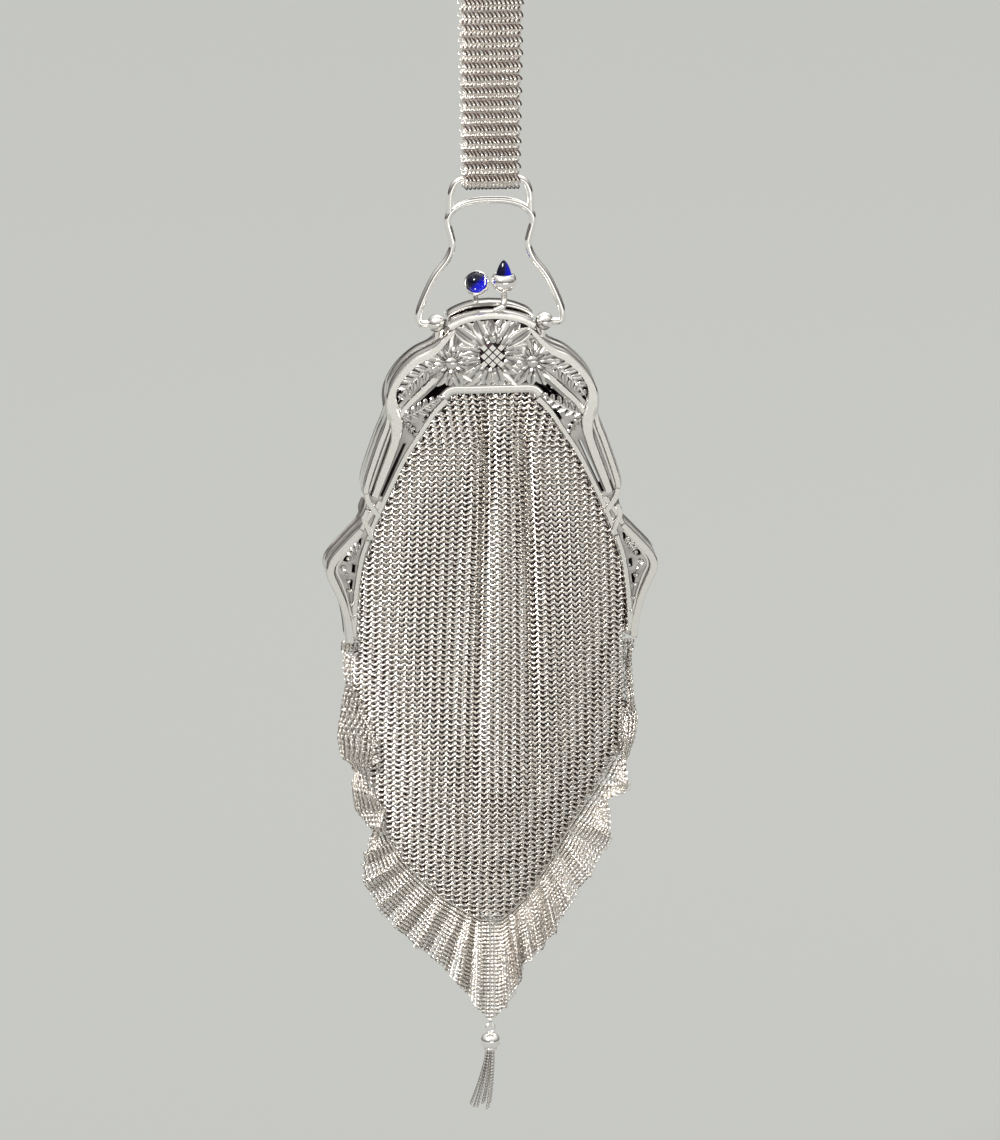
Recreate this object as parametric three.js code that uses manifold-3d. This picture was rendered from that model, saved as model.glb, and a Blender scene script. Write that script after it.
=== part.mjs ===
// A silver mesh purse that hangs by its mesh wrist strap. Two pierced and cast jaws with a kiss clasp carry
// a pointed bag of ring mesh with a gathered frill and a tassel. A wire bail turns in a ball at each side.
// Millimetres, +Z up, the front faces -Y. The origin is the inside top of the strap loop, where it hangs.
import * as THREE from "three";
import { mergeVertices } from "three/addons/utils/BufferGeometryUtils.js";
import Module from "manifold-3d";

const wasm = await Module();
wasm.setup();

// Driving dimensions
const clearance = 0.3; // between two pieces that touch
const strapDrop = 130; // inside top of the loop to the ring's bar
const strapTopWidth = 24.8;
const strapRingWidth = 21.2;
const strapThickness = 1.6;
const strapBendRadius = 6; // inside the top bend
const ringWire = 2.6;
const ringCorner = 2.7; // from the end of the ring's bar out to its leg
const ringRise = 7.8; // ring's bar over the top of the bail's arch
const bailWire = 2.7;
const bailHalfWidth = 25.9;
const bailHeight = 45.3; // pivot to the middle of the arch's wire
const ballRadius = 3.3;
const ballGap = 0.38; // from the end of the arch's rim to a ball
const pinReach = 1.6; // how far short of a ball's middle the bail's pin ends
const tangWidth = 3.3; // the ball's foot between the jaws
const frameHalfWidth = 60;
const frameHeight = 122.2;
const frameRise = 5.5; // top of the front jaw over the pivot
const frameDepth = 15; // front face to back face
const plateThickness = 1.6;
const rimWidth = 1.7; // the side wall under the plate's outer edge
const jawGap = 1.8; // between the two closed jaws
const backRise = 1.8; // how much higher the back jaw's arch stands
const petalHeight = 0.9; // petals over the plate
const discHeight = 1.95; // a flower's disc over the plate
const ribbonHeight = 0.75; // raised ribbons over the plate
const ribbonSink = 0.2; // how deep a ribbon's feet stand in the plate
const hingeRadius = 2.3;
const hingeLength = 3.2;
const cupRadius = 4.5;
const knobSpread = 4.85; // middle of the purse to each knob
const knobRise = 14.6; // pivot to the upright knob's cup
const facingSetback = 0.5; // how far the facing knob's cup stands behind the upright one
const stemRadius = 1.1;
const stoneRadius = 3.4;
const stoneHeight = 5.2;
const bagDrop = 227.5; // top of the front jaw to the bag's point
const bagWall = 1.5;
const bagBelly = 12; // the middle of the purse to the front of the bag, at its fullest
const seamThickness = 3.4;
const seamGap = 0.66; // between the bag's edge and the frill
const frillThickness = 1.3;
const frillWave = 3.2; // how far a ruffle swings to each side
const frillRuffles = 21;
const linkWire = 0.7;
const linkLength = 4.6;
const linkWidth = 3.8;
const capRadius = 3.6;
const capSquash = 0.88; // the cap's height over its width
const tasselLength = 20.5;
const tasselSpread = 5.2;
const tasselStrands = 12;
const strandWidth = 1.5;
const tasselSwing = 1.2; // how far its end swings to the left

// Heights that follow from them
const barZ = -strapDrop;
const pivotZ = barZ - ringRise - bailHeight;
const frameTopZ = pivotZ + frameRise;
const frameEndZ = frameTopZ - frameHeight;
const bagTipZ = frameTopZ - bagDrop;
const lowerLength = frameEndZ - bagTipZ; // frame's ends to the bag's point
const hingeRoom = hingeRadius * 2 + clearance * 2;
const facePlane = -frameDepth / 2; // the front jaw's front face

// Jaw outline, right half. across: shares of frameHalfWidth. down: shares of frameHeight.
const archEdge = [
  { across: 0, down: 0 },
  { across: 0.09, down: 0.003 },
  { across: 0.18, down: 0.014 },
  { across: 0.255, down: 0.033 },
];
const flankEdge = [
  { across: 0.262, down: 0.066 },
  { across: 0.348, down: 0.101 },
  { across: 0.456, down: 0.128 },
  { across: 0.549, down: 0.168 },
  { across: 0.612, down: 0.213 },
  { across: 0.632, down: 0.253 },
  { across: 0.628, down: 0.291 },
  { across: 0.648, down: 0.33 },
  { across: 0.69, down: 0.381 },
  { across: 0.756, down: 0.476 },
  { across: 0.777, down: 0.521 },
  { across: 0.768, down: 0.552 },
  { across: 0.75, down: 0.586 },
];
const shoulderEdge = [
  { across: 0.782, down: 0.637 },
  { across: 0.87, down: 0.685 },
  { across: 0.968, down: 0.738 },
  { across: 0.998, down: 0.767 },
  { across: 0.991, down: 0.796 },
  { across: 0.957, down: 0.832 },
  { across: 0.912, down: 0.884 },
  { across: 0.882, down: 0.948 },
  { across: 0.873, down: 1 },
];
const innerEdge = [
  { across: 0.8, down: 0.985 },
  { across: 0.814, down: 0.954 },
  { across: 0.804, down: 0.869 },
  { across: 0.78, down: 0.78 },
  { across: 0.732, down: 0.695 },
  { across: 0.666, down: 0.61 },
  { across: 0.582, down: 0.515 },
  { across: 0.492, down: 0.424 },
  { across: 0.402, down: 0.354 },
  { across: 0.312, down: 0.287 },
  { across: 0.222, down: 0.245 },
];
// Pierced gaps of the right half: corners of each, across and down in the outline's shares
const gaps = {
  outerSlot: [[0.575, 0.352], [0.598, 0.352], [0.73, 0.548], [0.712, 0.548]],
  innerSlot: [[0.512, 0.392], [0.534, 0.392], [0.672, 0.55], [0.654, 0.55]],
  loopTop: [[0.375, 0.175], [0.43, 0.18], [0.41, 0.2], [0.37, 0.205]],
  loopEnd: [[0.545, 0.235], [0.575, 0.24], [0.57, 0.27], [0.54, 0.262]],
  largeGap: [[0.24, 0.2], [0.3, 0.215], [0.43, 0.26], [0.41, 0.275], [0.3, 0.25]],
  leafFoot: [[0.36, 0.305], [0.4, 0.29], [0.4, 0.325], [0.385, 0.33]],
  ribbonFoot: [[0.47, 0.34], [0.49, 0.345], [0.46, 0.385], [0.445, 0.375]],
  cornerTop: [[0.785, 0.68], [0.81, 0.69], [0.8, 0.705], [0.78, 0.7]],
  cornerTip: [[0.87, 0.735], [0.93, 0.76], [0.91, 0.775], [0.86, 0.76]],
  cornerMiddle: [[0.81, 0.75], [0.84, 0.76], [0.84, 0.79], [0.815, 0.79]],
  cornerLow: [[0.83, 0.81], [0.86, 0.81], [0.86, 0.84], [0.838, 0.845]],
  cornerFoot: [[0.85, 0.88], [0.868, 0.88], [0.86, 0.93], [0.85, 0.93]],
  petalTop: [[0.02, 0.024], [0.045, 0.024], [0.034, 0.038]],
  petalSide: [[0.1, 0.036], [0.15, 0.04], [0.13, 0.054]],
  petalLow: [[0.04, 0.222], [0.075, 0.222], [0.056, 0.202]],
  petalLowSide: [[0.12, 0.222], [0.155, 0.222], [0.138, 0.205]],
  petalLowEnd: [[0.2, 0.222], [0.232, 0.218], [0.212, 0.206]],
};
// Flowers. reach and disc: petal tip and disc radius as shares of frameHalfWidth.
const flowers = [
  { across: 0, down: 0.13, reach: 0.195, disc: 0.085, petals: 14 },
  { across: 0.235, down: 0.15, reach: 0.145, disc: 0.042, petals: 11 },
  { across: -0.235, down: 0.15, reach: 0.145, disc: 0.042, petals: 11 },
];
// Raised ribbons of the right half, their paths across and down as above. wide: share of frameHalfWidth.
const ribbons = [
  { wide: 0.034, path: [[0.36, 0.12], [0.5, 0.15], [0.6, 0.22], [0.58, 0.3], [0.56, 0.35]] },
  { wide: 0.05, path: [[0.555, 0.34], [0.6, 0.42], [0.66, 0.5], [0.7, 0.56]] },
  { wide: 0.036, path: [[0.3, 0.18], [0.42, 0.23], [0.53, 0.29]] },
  { wide: 0.034, path: [[0.735, 0.55], [0.71, 0.58], [0.705, 0.61]] },
  { wide: 0.034, path: [[0.68, 0.57], [0.73, 0.605], [0.75, 0.64]] },
  { wide: 0.03, path: [[0.4, 0.31], [0.5, 0.4], [0.6, 0.51], [0.68, 0.605]] },
];

// Bag. down: shares of lowerLength under the frame's ends. left, right: shares of the jaws' end width.
// belly: shares of bagBelly. edge: shares of the way from seamThickness to frameDepth.
const lowerRows = [
  { down: 0.03, left: 0.985, right: 0.985, belly: 0.99, edge: 0.5 },
  { down: 0.097, left: 1.01, right: 0.985, belly: 1, edge: 0.12 },
  { down: 0.269, left: 1, right: 1, belly: 0.97, edge: 0 },
  { down: 0.38, left: 0.95, right: 0.97, belly: 0.94, edge: 0 },
  { down: 0.523, left: 0.86, right: 0.8, belly: 0.87, edge: 0 },
  { down: 0.6, left: 0.82, right: 0.68, belly: 0.8, edge: 0 },
  { down: 0.667, left: 0.78, right: 0.59, belly: 0.73, edge: 0 },
  { down: 0.724, left: 0.73, right: 0.52, belly: 0.65, edge: 0 },
  { down: 0.792, left: 0.63, right: 0.44, belly: 0.56, edge: 0 },
  { down: 0.85, left: 0.51, right: 0.36, belly: 0.46, edge: 0 },
  { down: 0.918, left: 0.35, right: 0.27, belly: 0.34, edge: 0 },
  { down: 0.964, left: 0.2, right: 0.17, belly: 0.25, edge: 0 },
  { down: 1, left: 0.07, right: 0.07, belly: 0.17, edge: 0 },
];
// Bag rows inside the frame. down: shares of frameHeight. belly: shares of bagBelly.
const upperRows = [
  { down: 0.252, belly: 0.6 },
  { down: 0.3, belly: 0.68 },
  { down: 0.36, belly: 0.76 },
  { down: 0.44, belly: 0.84 },
  { down: 0.54, belly: 0.91 },
  { down: 0.66, belly: 0.96 },
  { down: 0.78, belly: 0.98 },
  { down: 0.9, belly: 0.99 },
  { down: 0.975, belly: 0.99 },
];
// Gathers. top, low: where the fold runs, as shares of the jaw's end width. wide: the same.
// deep: shares of bagBelly.
const folds = [
  { top: -0.05, low: -0.2, wide: 0.07, deep: 0.3 },
  { top: 0.2, low: 0.32, wide: 0.08, deep: 0.28 },
  { top: 0.06, low: 0.05, wide: 0.1, deep: -0.16 },
  { top: -0.16, low: -0.42, wide: 0.1, deep: 0.12 },
];
// How the gathers fade. end: where they end, as a share of frameHeight. start: their depth at the top.
// grow: how fast it grows below.
const gatherFade = { end: 1.1, start: 0.35, grow: 6 };
const bagRoundness = 0.8; // power of the bag's section: 0.5 is an ellipse, 1 a parabola
// Petal edge. part: where on the petal. reach: share of the petal's reach.
const petalEdge = [
  { part: 0, reach: 0.72 },
  { part: 0.3, reach: 0.96 },
  { part: 0.7, reach: 0.96 },
];
// Frill stations from the left end round the point. side, seam: where on the bag's edge it starts.
// across: shares of the jaw's end width. down: shares of lowerLength.
const frillRows = [
  { side: -1, seam: 0.05, across: -1.12, down: 0.03 },
  { side: -1, seam: 0.13, across: -1.114, down: 0.13 },
  { side: -1, seam: 0.27, across: -1.136, down: 0.28 },
  { side: -1, seam: 0.38, across: -1.136, down: 0.4 },
  { side: -1, seam: 0.52, across: -1.09, down: 0.53 },
  { side: -1, seam: 0.6, across: -1.04, down: 0.62 },
  { side: -1, seam: 0.667, across: -0.97, down: 0.69 },
  { side: -1, seam: 0.724, across: -0.94, down: 0.763 },
  { side: -1, seam: 0.792, across: -0.94, down: 0.857 },
  { side: -1, seam: 0.85, across: -0.81, down: 0.97 },
  { side: -1, seam: 0.918, across: -0.6, down: 1.075 },
  { side: -1, seam: 0.964, across: -0.39, down: 1.15 },
  { side: -1, seam: 0.985, across: -0.2, down: 1.25 },
  { side: -1, seam: 1, across: -0.09, down: 1.325 },
  { side: 0, seam: 1, across: 0, down: 1.37 },
  { side: 1, seam: 1, across: 0.085, down: 1.33 },
  { side: 1, seam: 0.985, across: 0.19, down: 1.265 },
  { side: 1, seam: 0.964, across: 0.24, down: 1.176 },
  { side: 1, seam: 0.918, across: 0.34, down: 1.13 },
  { side: 1, seam: 0.85, across: 0.46, down: 1.065 },
  { side: 1, seam: 0.792, across: 0.596, down: 0.95 },
  { side: 1, seam: 0.724, across: 0.746, down: 0.846 },
  { side: 1, seam: 0.667, across: 0.874, down: 0.749 },
  { side: 1, seam: 0.6, across: 0.934, down: 0.67 },
  { side: 1, seam: 0.52, across: 0.99, down: 0.573 },
  { side: 1, seam: 0.38, across: 1.1, down: 0.4 },
  { side: 1, seam: 0.27, across: 1.12, down: 0.28 },
  { side: 1, seam: 0.13, across: 1.07, down: 0.13 },
  { side: 1, seam: 0.05, across: 1.06, down: 0.03 },
];
// Bail, right half. out: shares of bailHalfWidth. up: shares of bailHeight.
const bailPath = [
  { out: 0, up: 1 },
  { out: 0.24, up: 0.992 },
  { out: 0.44, up: 0.955 },
  { out: 0.56, up: 0.895 },
  { out: 0.592, up: 0.82 },
  { out: 0.55, up: 0.72 },
  { out: 0.525, up: 0.63 },
  { out: 0.6, up: 0.52 },
  { out: 0.77, up: 0.39 },
  { out: 0.9, up: 0.24 },
  { out: 0.985, up: 0.11 },
  { out: 1, up: 0.03 },
  { out: 0.95, up: 0 },
];

// Ring's corner. out, down: shares of ringCorner from the end of the bar.
const ringCurve = [
  { out: 0, down: 0 },
  { out: 0.75, down: 0.35 },
  { out: 1, down: 1.3 },
];
// Where a knob's stem leaves its cup and where it bends, as shares of cupRadius from the cup's middle.
const stemStart = 0.6;
const stemBend = 1.1;
// Cup profile. squash, foot, lip: shares of cupRadius. turns: degrees under the cup's widest place.
const cup = { squash: 0.8, foot: 0.75, lip: 0.48, turns: [65, 40, 15, -10, -30] };
// Tassel strands leave the cap and end at these shares of capRadius and tasselSpread.
const strandRoot = 0.62;
const strandEnd = 0.8;
const innerStrands = 0.45; // every second strand hangs this much nearer the middle

const ballSpread = frameHalfWidth * flankEdge[0].across + ballGap + ballRadius; // middle to each ball

const silver = { color: 0xd9d5cc, roughness: 0.22, metalness: 1 };
const meshSilver = { color: 0xc4bdb2, roughness: 0.35, metalness: 0.9 };
const blueGlass = { color: 0x14188c, roughness: 0.05, metalness: 0 };

const group = new THREE.Group();

// Adds one finished piece.
function place(name, geometry, finish) {
  const mesh = new THREE.Mesh(geometry, new THREE.MeshStandardMaterial(finish));
  mesh.name = name;
  group.add(mesh);
  return mesh;
}

// A geometry as a solid for cutting and joining.
function solid(geometry) {
  const bare = geometry.clone();
  bare.deleteAttribute("normal");
  bare.deleteAttribute("uv");
  const merged = mergeVertices(bare, 1e-4);
  return new wasm.Manifold(
    new wasm.Mesh({
      numProp: 3,
      vertProperties: new Float32Array(merged.attributes.position.array),
      triVerts: new Uint32Array(merged.index.array),
    }),
  );
}

// A solid as a geometry.
function geometryOf(shape) {
  const mesh = shape.getMesh();
  const geometry = new THREE.BufferGeometry();
  geometry.setAttribute("position", new THREE.BufferAttribute(mesh.vertProperties, mesh.numProp));
  geometry.setIndex(new THREE.BufferAttribute(mesh.triVerts, 1));
  geometry.computeVertexNormals();
  return geometry;
}

// Joins rings of points of equal count. looped joins the last to the first, otherwise both ends are capped.
function loft(rings, looped = false) {
  const count = rings[0].length;
  const points = rings.flat();
  const faces = [];
  const last = looped ? rings.length : rings.length - 1;
  for (let row = 0; row < last; row++)
    for (let i = 0; i < count; i++) {
      const a = row * count + i;
      const b = row * count + ((i + 1) % count);
      const c = ((row + 1) % rings.length) * count + i;
      const d = ((row + 1) % rings.length) * count + ((i + 1) % count);
      faces.push(a, b, c, b, d, c);
    }
  if (!looped)
    for (let i = 1; i < count - 1; i++) {
      const end = (rings.length - 1) * count;
      faces.push(0, i + 1, i, end, end + i, end + i + 1);
    }
  const geometry = new THREE.BufferGeometry().setFromPoints(points);
  geometry.setIndex(faces);
  return outward(geometry);
}

// Turns a closed geometry's faces outwards.
function outward(geometry) {
  const at = geometry.attributes.position;
  const faces = geometry.index.array;
  const corner = [0, 1, 2].map(() => new THREE.Vector3());
  let volume = 0;
  for (let i = 0; i < faces.length; i += 3) {
    corner.forEach((c, k) => c.fromBufferAttribute(at, faces[i + k]));
    volume += corner[0].dot(corner[1].cross(corner[2]));
  }
  if (volume < 0)
    for (let i = 0; i < faces.length; i += 3) [faces[i + 1], faces[i + 2]] = [faces[i + 2], faces[i + 1]];
  return geometry;
}

// A round wire along points, with flat ends.
function wire(points, radius, steps, sides = 8) {
  const section = new THREE.Shape();
  for (let i = 0; i < sides; i++) {
    const turn = (i / sides) * Math.PI * 2;
    const at = [Math.cos(turn) * radius, Math.sin(turn) * radius];
    if (i) section.lineTo(...at);
    else section.moveTo(...at);
  }
  const extrudePath = new THREE.CatmullRomCurve3(points, false, "centripetal");
  return new THREE.ExtrudeGeometry(section, { steps, extrudePath, bevelEnabled: false });
}

// Straight lines between named columns of a table.
function lookUp(rows, key, column, value) {
  const last = rows.length - 1;
  if (value <= rows[0][key]) return rows[0][column];
  for (let i = 0; i < last; i++) {
    const span = rows[i + 1][key] - rows[i][key];
    if (value <= rows[i + 1][key]) {
      const share = (value - rows[i][key]) / span;
      return rows[i][column] + share * (rows[i + 1][column] - rows[i][column]);
    }
  }
  return rows[last][column];
}

// A place on the jaw, in the plane of its face.
function onJaw(across, down, rise = 0) {
  const lift = rise * Math.max(0, 1 - down / flankEdge[1].down);
  return new THREE.Vector2(across * frameHalfWidth, frameTopZ - down * frameHeight + lift);
}

// A smooth run through table rows.
function run(rows, steps, rise) {
  return new THREE.SplineCurve(rows.map((r) => onJaw(r.across, r.down, rise))).getPoints(steps);
}

// Both halves of the jaw's outer edge, from the left end to the right end.
function outerPoints(rise) {
  const half = [...run(archEdge, 4, rise), ...run(flankEdge, 16, rise), ...run(shoulderEdge, 10, rise)];
  const left = half.map((p) => new THREE.Vector2(-p.x, p.y)).reverse();
  return [...left, ...half.slice(1)];
}

// Both halves of the inner edge, from the right end back to the left end.
function innerPoints() {
  const half = run(innerEdge, 11);
  return [...half, ...half.map((p) => new THREE.Vector2(-p.x, p.y)).reverse()];
}

// A flat outline in the plane of the jaw, thick from one plane back to another.
function slab(points, nearY, farY) {
  const shape = new THREE.Shape(points);
  const geometry = new THREE.ExtrudeGeometry(shape, { depth: farY - nearY, bevelEnabled: false });
  geometry.rotateX(Math.PI / 2);
  return geometry.translate(0, farY, 0);
}

// The pierced holes of both halves, as plugs that run past both faces of the plate.
function gapPlugs() {
  const outlines = [1, -1].flatMap((side) =>
    Object.values(gaps).map((corners) => corners.map(([across, down]) => onJaw(side * across, down))),
  );
  const [front, back] = [facePlane - discHeight * 2, facePlane + plateThickness * 2];
  return outlines.map((outline) => slab(outline, front, back));
}

// A flower: a raised rosette whose edge runs round its petals, and a dome for its disc.
function flowerSolid(flower) {
  const middle = onJaw(flower.across, flower.down);
  const reach = flower.reach * frameHalfWidth;
  const disc = flower.disc * frameHalfWidth;
  const outline = [];
  for (let i = 0; i < flower.petals; i++)
    for (const row of petalEdge) {
      const turn = ((i + row.part) / flower.petals) * Math.PI * 2;
      const way = new THREE.Vector2(Math.sin(turn), Math.cos(turn));
      outline.push(way.multiplyScalar(reach * row.reach).add(middle));
    }
  const rosette = slab(outline.reverse(), facePlane - petalHeight, facePlane + plateThickness / 2);
  const dome = new THREE.SphereGeometry(disc, 12, 6);
  dome.scale(1, discHeight / disc, 1).translate(middle.x, facePlane, middle.y);
  return solid(rosette).add(solid(dome));
}

// A flat ribbon raised over the plate.
function ribbon(path, wide, height, base) {
  const curve = new THREE.SplineCurve(path);
  const steps = Math.ceil(path.length * 1.5);
  const rings = [];
  for (let i = 0; i <= steps; i++) {
    const p = curve.getPoint(i / steps);
    const t = curve.getTangent(i / steps);
    const at = (sideways, out) => new THREE.Vector3(p.x - t.y * sideways, base - out, p.y + t.x * sideways);
    const feet = [at(wide / 2, -ribbonSink), at(-wide / 2, -ribbonSink)];
    rings.push([feet[0], at(wide / 3, height), at(-wide / 3, height), feet[1]]);
  }
  return loft(rings);
}

// One jaw, as the front one: a pierced plate with a rim wall behind its outer edge and raised flowers.
function jaw(rise, ribboned) {
  const outer = outerPoints(rise);
  const inner = innerPoints();
  const backPlane = -jawGap / 2;
  let shape = solid(slab([...outer, ...inner], facePlane, facePlane + plateThickness));
  const sunk = plateThickness / 2;
  const wall = outer.map((p, i) => {
    const before = outer[Math.max(0, i - 1)];
    const after = outer[Math.min(outer.length - 1, i + 1)];
    const t = after.clone().sub(before).normalize();
    const inside = new THREE.Vector2(p.x + t.y * rimWidth, p.y - t.x * rimWidth);
    return [p, p, inside, inside].map((q, k) => {
      const y = k === 0 || k === 3 ? facePlane + sunk : backPlane;
      return new THREE.Vector3(q.x, y, q.y);
    });
  });
  shape = shape.add(solid(loft(wall)));
  for (const flower of flowers) shape = shape.add(flowerSolid(flower));
  for (const side of ribboned ? [1, -1] : [])
    for (const band of ribbons) {
      const path = band.path.map(([across, down]) => onJaw(side * across, down));
      shape = shape.add(solid(ribbon(path, band.wide * frameHalfWidth, ribbonHeight, facePlane)));
    }
  for (const plug of gapPlugs()) shape = shape.subtract(solid(plug));
  const ends = new THREE.BoxGeometry(frameHalfWidth * 4, hingeRadius * 2 + clearance * 2, hingeRoom * 2);
  return shape.subtract(solid(ends.translate(0, 0, frameEndZ)));
}

// Strap: a closed band round the ring's bar and up to the hanging place
const strapInnerLow = ringWire / 2 + clearance;
function strapGeometry() {
  const rings = [];
  const section = (y, z, outY, outZ, half) => {
    const outer = [y + outY * strapThickness, z + outZ * strapThickness];
    return [
      new THREE.Vector3(-half, y, z),
      new THREE.Vector3(half, y, z),
      new THREE.Vector3(half, ...outer),
      new THREE.Vector3(-half, ...outer),
    ];
  };
  const topZ = -strapBendRadius;
  const halfAt = (z) => {
    const share = THREE.MathUtils.clamp((topZ - z) / (topZ - barZ), 0, 1);
    return THREE.MathUtils.lerp(strapTopWidth, strapRingWidth, share) / 2;
  };
  const bendSteps = 12;
  for (let i = 0; i <= bendSteps; i++) {
    const turn = Math.PI * (i / bendSteps);
    const [outY, outZ] = [-Math.cos(turn), Math.sin(turn)];
    rings.push(section(outY * strapBendRadius, topZ + outZ * strapBendRadius, outY, outZ, halfAt(topZ)));
  }
  const legSteps = 6;
  const legAt = (side, share) => {
    const z = THREE.MathUtils.lerp(topZ, barZ, share);
    const y = side * THREE.MathUtils.lerp(strapBendRadius, strapInnerLow, share);
    return section(y, z, side, 0, halfAt(z));
  };
  for (let i = 1; i < legSteps; i++) rings.push(legAt(1, i / legSteps));
  for (let i = 0; i <= bendSteps; i++) {
    const turn = Math.PI * (i / bendSteps);
    const [outY, outZ] = [Math.cos(turn), -Math.sin(turn)];
    rings.push(section(outY * strapInnerLow, barZ + outZ * strapInnerLow, outY, outZ, halfAt(barZ)));
  }
  for (let i = legSteps - 1; i > 0; i--) rings.push(legAt(-1, i / legSteps));
  return loft(rings, true);
}
place("strap", strapGeometry(), meshSilver);

// Bail with the strap ring soldered on its shoulders
function bailGeometry() {
  const half = bailPath.map((r) => new THREE.Vector3(r.out * bailHalfWidth, 0, pivotZ + r.up * bailHeight));
  half.push(new THREE.Vector3(ballSpread + pinReach, 0, pivotZ));
  const left = half.map((p) => new THREE.Vector3(-p.x, 0, p.z)).reverse();
  const bail = wire([...left, ...half.slice(1)], bailWire / 2, 38);
  const foot = bailPath[3];
  const footX = foot.out * bailHalfWidth;
  const footZ = pivotZ + foot.up * bailHeight;
  const barHalf = strapRingWidth / 2 + clearance;
  const ringHalf = [
    new THREE.Vector3(barHalf / 2, 0, barZ),
    ...ringCurve.map((r) => new THREE.Vector3(barHalf + ringCorner * r.out, 0, barZ - ringCorner * r.down)),
    new THREE.Vector3(footX, 0, footZ),
  ];
  const ringLeft = ringHalf.map((p) => new THREE.Vector3(-p.x, 0, p.z)).reverse();
  const ring = wire([...ringLeft, ...ringHalf], ringWire / 2, 20);
  return geometryOf(solid(bail).add(solid(ring)));
}
place("bail", bailGeometry(), silver);

// Pivot balls, each drilled from outside for the bail's pin, with a flat tang down between the jaws
function ballGeometry(side) {
  let ball = solid(new THREE.SphereGeometry(ballRadius, 14, 10));
  const boreRadius = bailWire / 2 + clearance;
  const bore = new THREE.CylinderGeometry(boreRadius, boreRadius, ballRadius * 2, 16);
  bore.rotateZ(Math.PI / 2).translate(side * (ballRadius + pinReach - clearance), 0, 0);
  const tangLength = ballRadius * 2 + frameRise;
  const tang = new THREE.BoxGeometry(tangWidth, jawGap - clearance * 2, tangLength);
  tang.translate((-side * tangWidth) / 3, 0, -tangLength / 2 - clearance * 2);
  ball = ball.add(solid(tang)).subtract(solid(bore));
  return geometryOf(ball).translate(side * ballSpread, 0, pivotZ);
}
place("pivot_ball_left", ballGeometry(-1), silver);
place("pivot_ball_right", ballGeometry(1), silver);

// Jaws. The back one is the same casting turned to face the back, with a taller arch and no raised ribbons.
place("frame_front", geometryOf(jaw(0, true)), silver);
place("frame_back", geometryOf(jaw(backRise, false)).rotateZ(Math.PI), silver);

// Hinge barrels between the jaws' lower ends
const hingeZ = frameEndZ + hingeRadius + clearance;
const hingeX = (lookUp(shoulderEdge, "down", "across", 1) + innerEdge[0].across) / 2 * frameHalfWidth;
for (const [side, label] of [[-1, "left"], [1, "right"]]) {
  const barrel = new THREE.CylinderGeometry(hingeRadius, hingeRadius, hingeLength, 16);
  place(`hinge_${label}`, barrel.rotateZ(Math.PI / 2).translate(side * hingeX, 0, hingeZ), silver);
}

// Kiss clasp: an upright knob on the front jaw and one facing forward on the back jaw
function cupProfile() {
  const seat = stoneRadius + clearance;
  const points = [new THREE.Vector2(0, -cupRadius * cup.foot)];
  for (const degrees of cup.turns) {
    const turn = THREE.MathUtils.degToRad(degrees);
    points.push(new THREE.Vector2(Math.cos(turn) * cupRadius, -Math.sin(turn) * cupRadius * cup.squash));
  }
  const lip = cupRadius * cup.lip;
  points.push(new THREE.Vector2(seat, lip), new THREE.Vector2(seat, 0), new THREE.Vector2(0, 0));
  return points;
}
function stoneProfile() {
  const points = [new THREE.Vector2(0, clearance), new THREE.Vector2(stoneRadius, clearance)];
  const steps = 6;
  for (let i = 1; i < steps; i++) {
    const turn = (i / steps) * (Math.PI / 2);
    points.push(new THREE.Vector2(Math.cos(turn) * stoneRadius, clearance + Math.sin(turn) * stoneHeight));
  }
  return [...points, new THREE.Vector2(0, clearance + stoneHeight)];
}
const knobZ = pivotZ + knobRise;
const footHeight = clearance + stemRadius;
const upright = new THREE.Vector3(knobSpread, 0, knobZ);
const facing = new THREE.Vector3(-knobSpread, facingSetback, knobZ);
const lathe = (points) => new THREE.LatheGeometry(points, 12).rotateX(Math.PI / 2);
const turned = (geometry, at, tilt) => geometry.rotateX(tilt).translate(at.x, at.y, at.z);

const knobGeometry = (at, tilt, stem) => {
  const bowl = turned(lathe(cupProfile()), at, tilt);
  return geometryOf(solid(bowl).add(solid(stem)));
};

const frontFoot = new THREE.Vector3(knobSpread / 2, (facePlane - jawGap / 2) / 2, frameTopZ + footHeight);
const uprightStem = wire(
  [
    new THREE.Vector3(upright.x, upright.y, upright.z - cupRadius * stemStart),
    new THREE.Vector3(upright.x, upright.y - stemRadius, upright.z - cupRadius * stemBend),
    new THREE.Vector3(upright.x, upright.y - stemRadius * 2, frontFoot.z + stemRadius),
    frontFoot,
  ],
  stemRadius,
  12,
);
place("clasp_knob_front", knobGeometry(upright, 0, uprightStem), silver);
place("stone_upright", turned(lathe(stoneProfile()), upright, 0), blueGlass);

const backFoot = new THREE.Vector3(-knobSpread, -facePlane / 2, frameTopZ + backRise + stemRadius);
const facingStem = wire(
  [
    new THREE.Vector3(facing.x, facing.y + cupRadius * stemStart, facing.z),
    new THREE.Vector3(facing.x, facing.y + cupRadius * stemBend, facing.z - stemRadius),
    new THREE.Vector3(facing.x, facing.y + cupRadius * stemBend, (facing.z + backFoot.z) / 2),
    backFoot,
  ],
  stemRadius,
  12,
);
const faceTurn = Math.PI / 2;
place("clasp_knob_back", knobGeometry(facing, faceTurn, facingStem), silver);
place("stone_facing", turned(lathe(stoneProfile()), facing, faceTurn), blueGlass);

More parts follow.
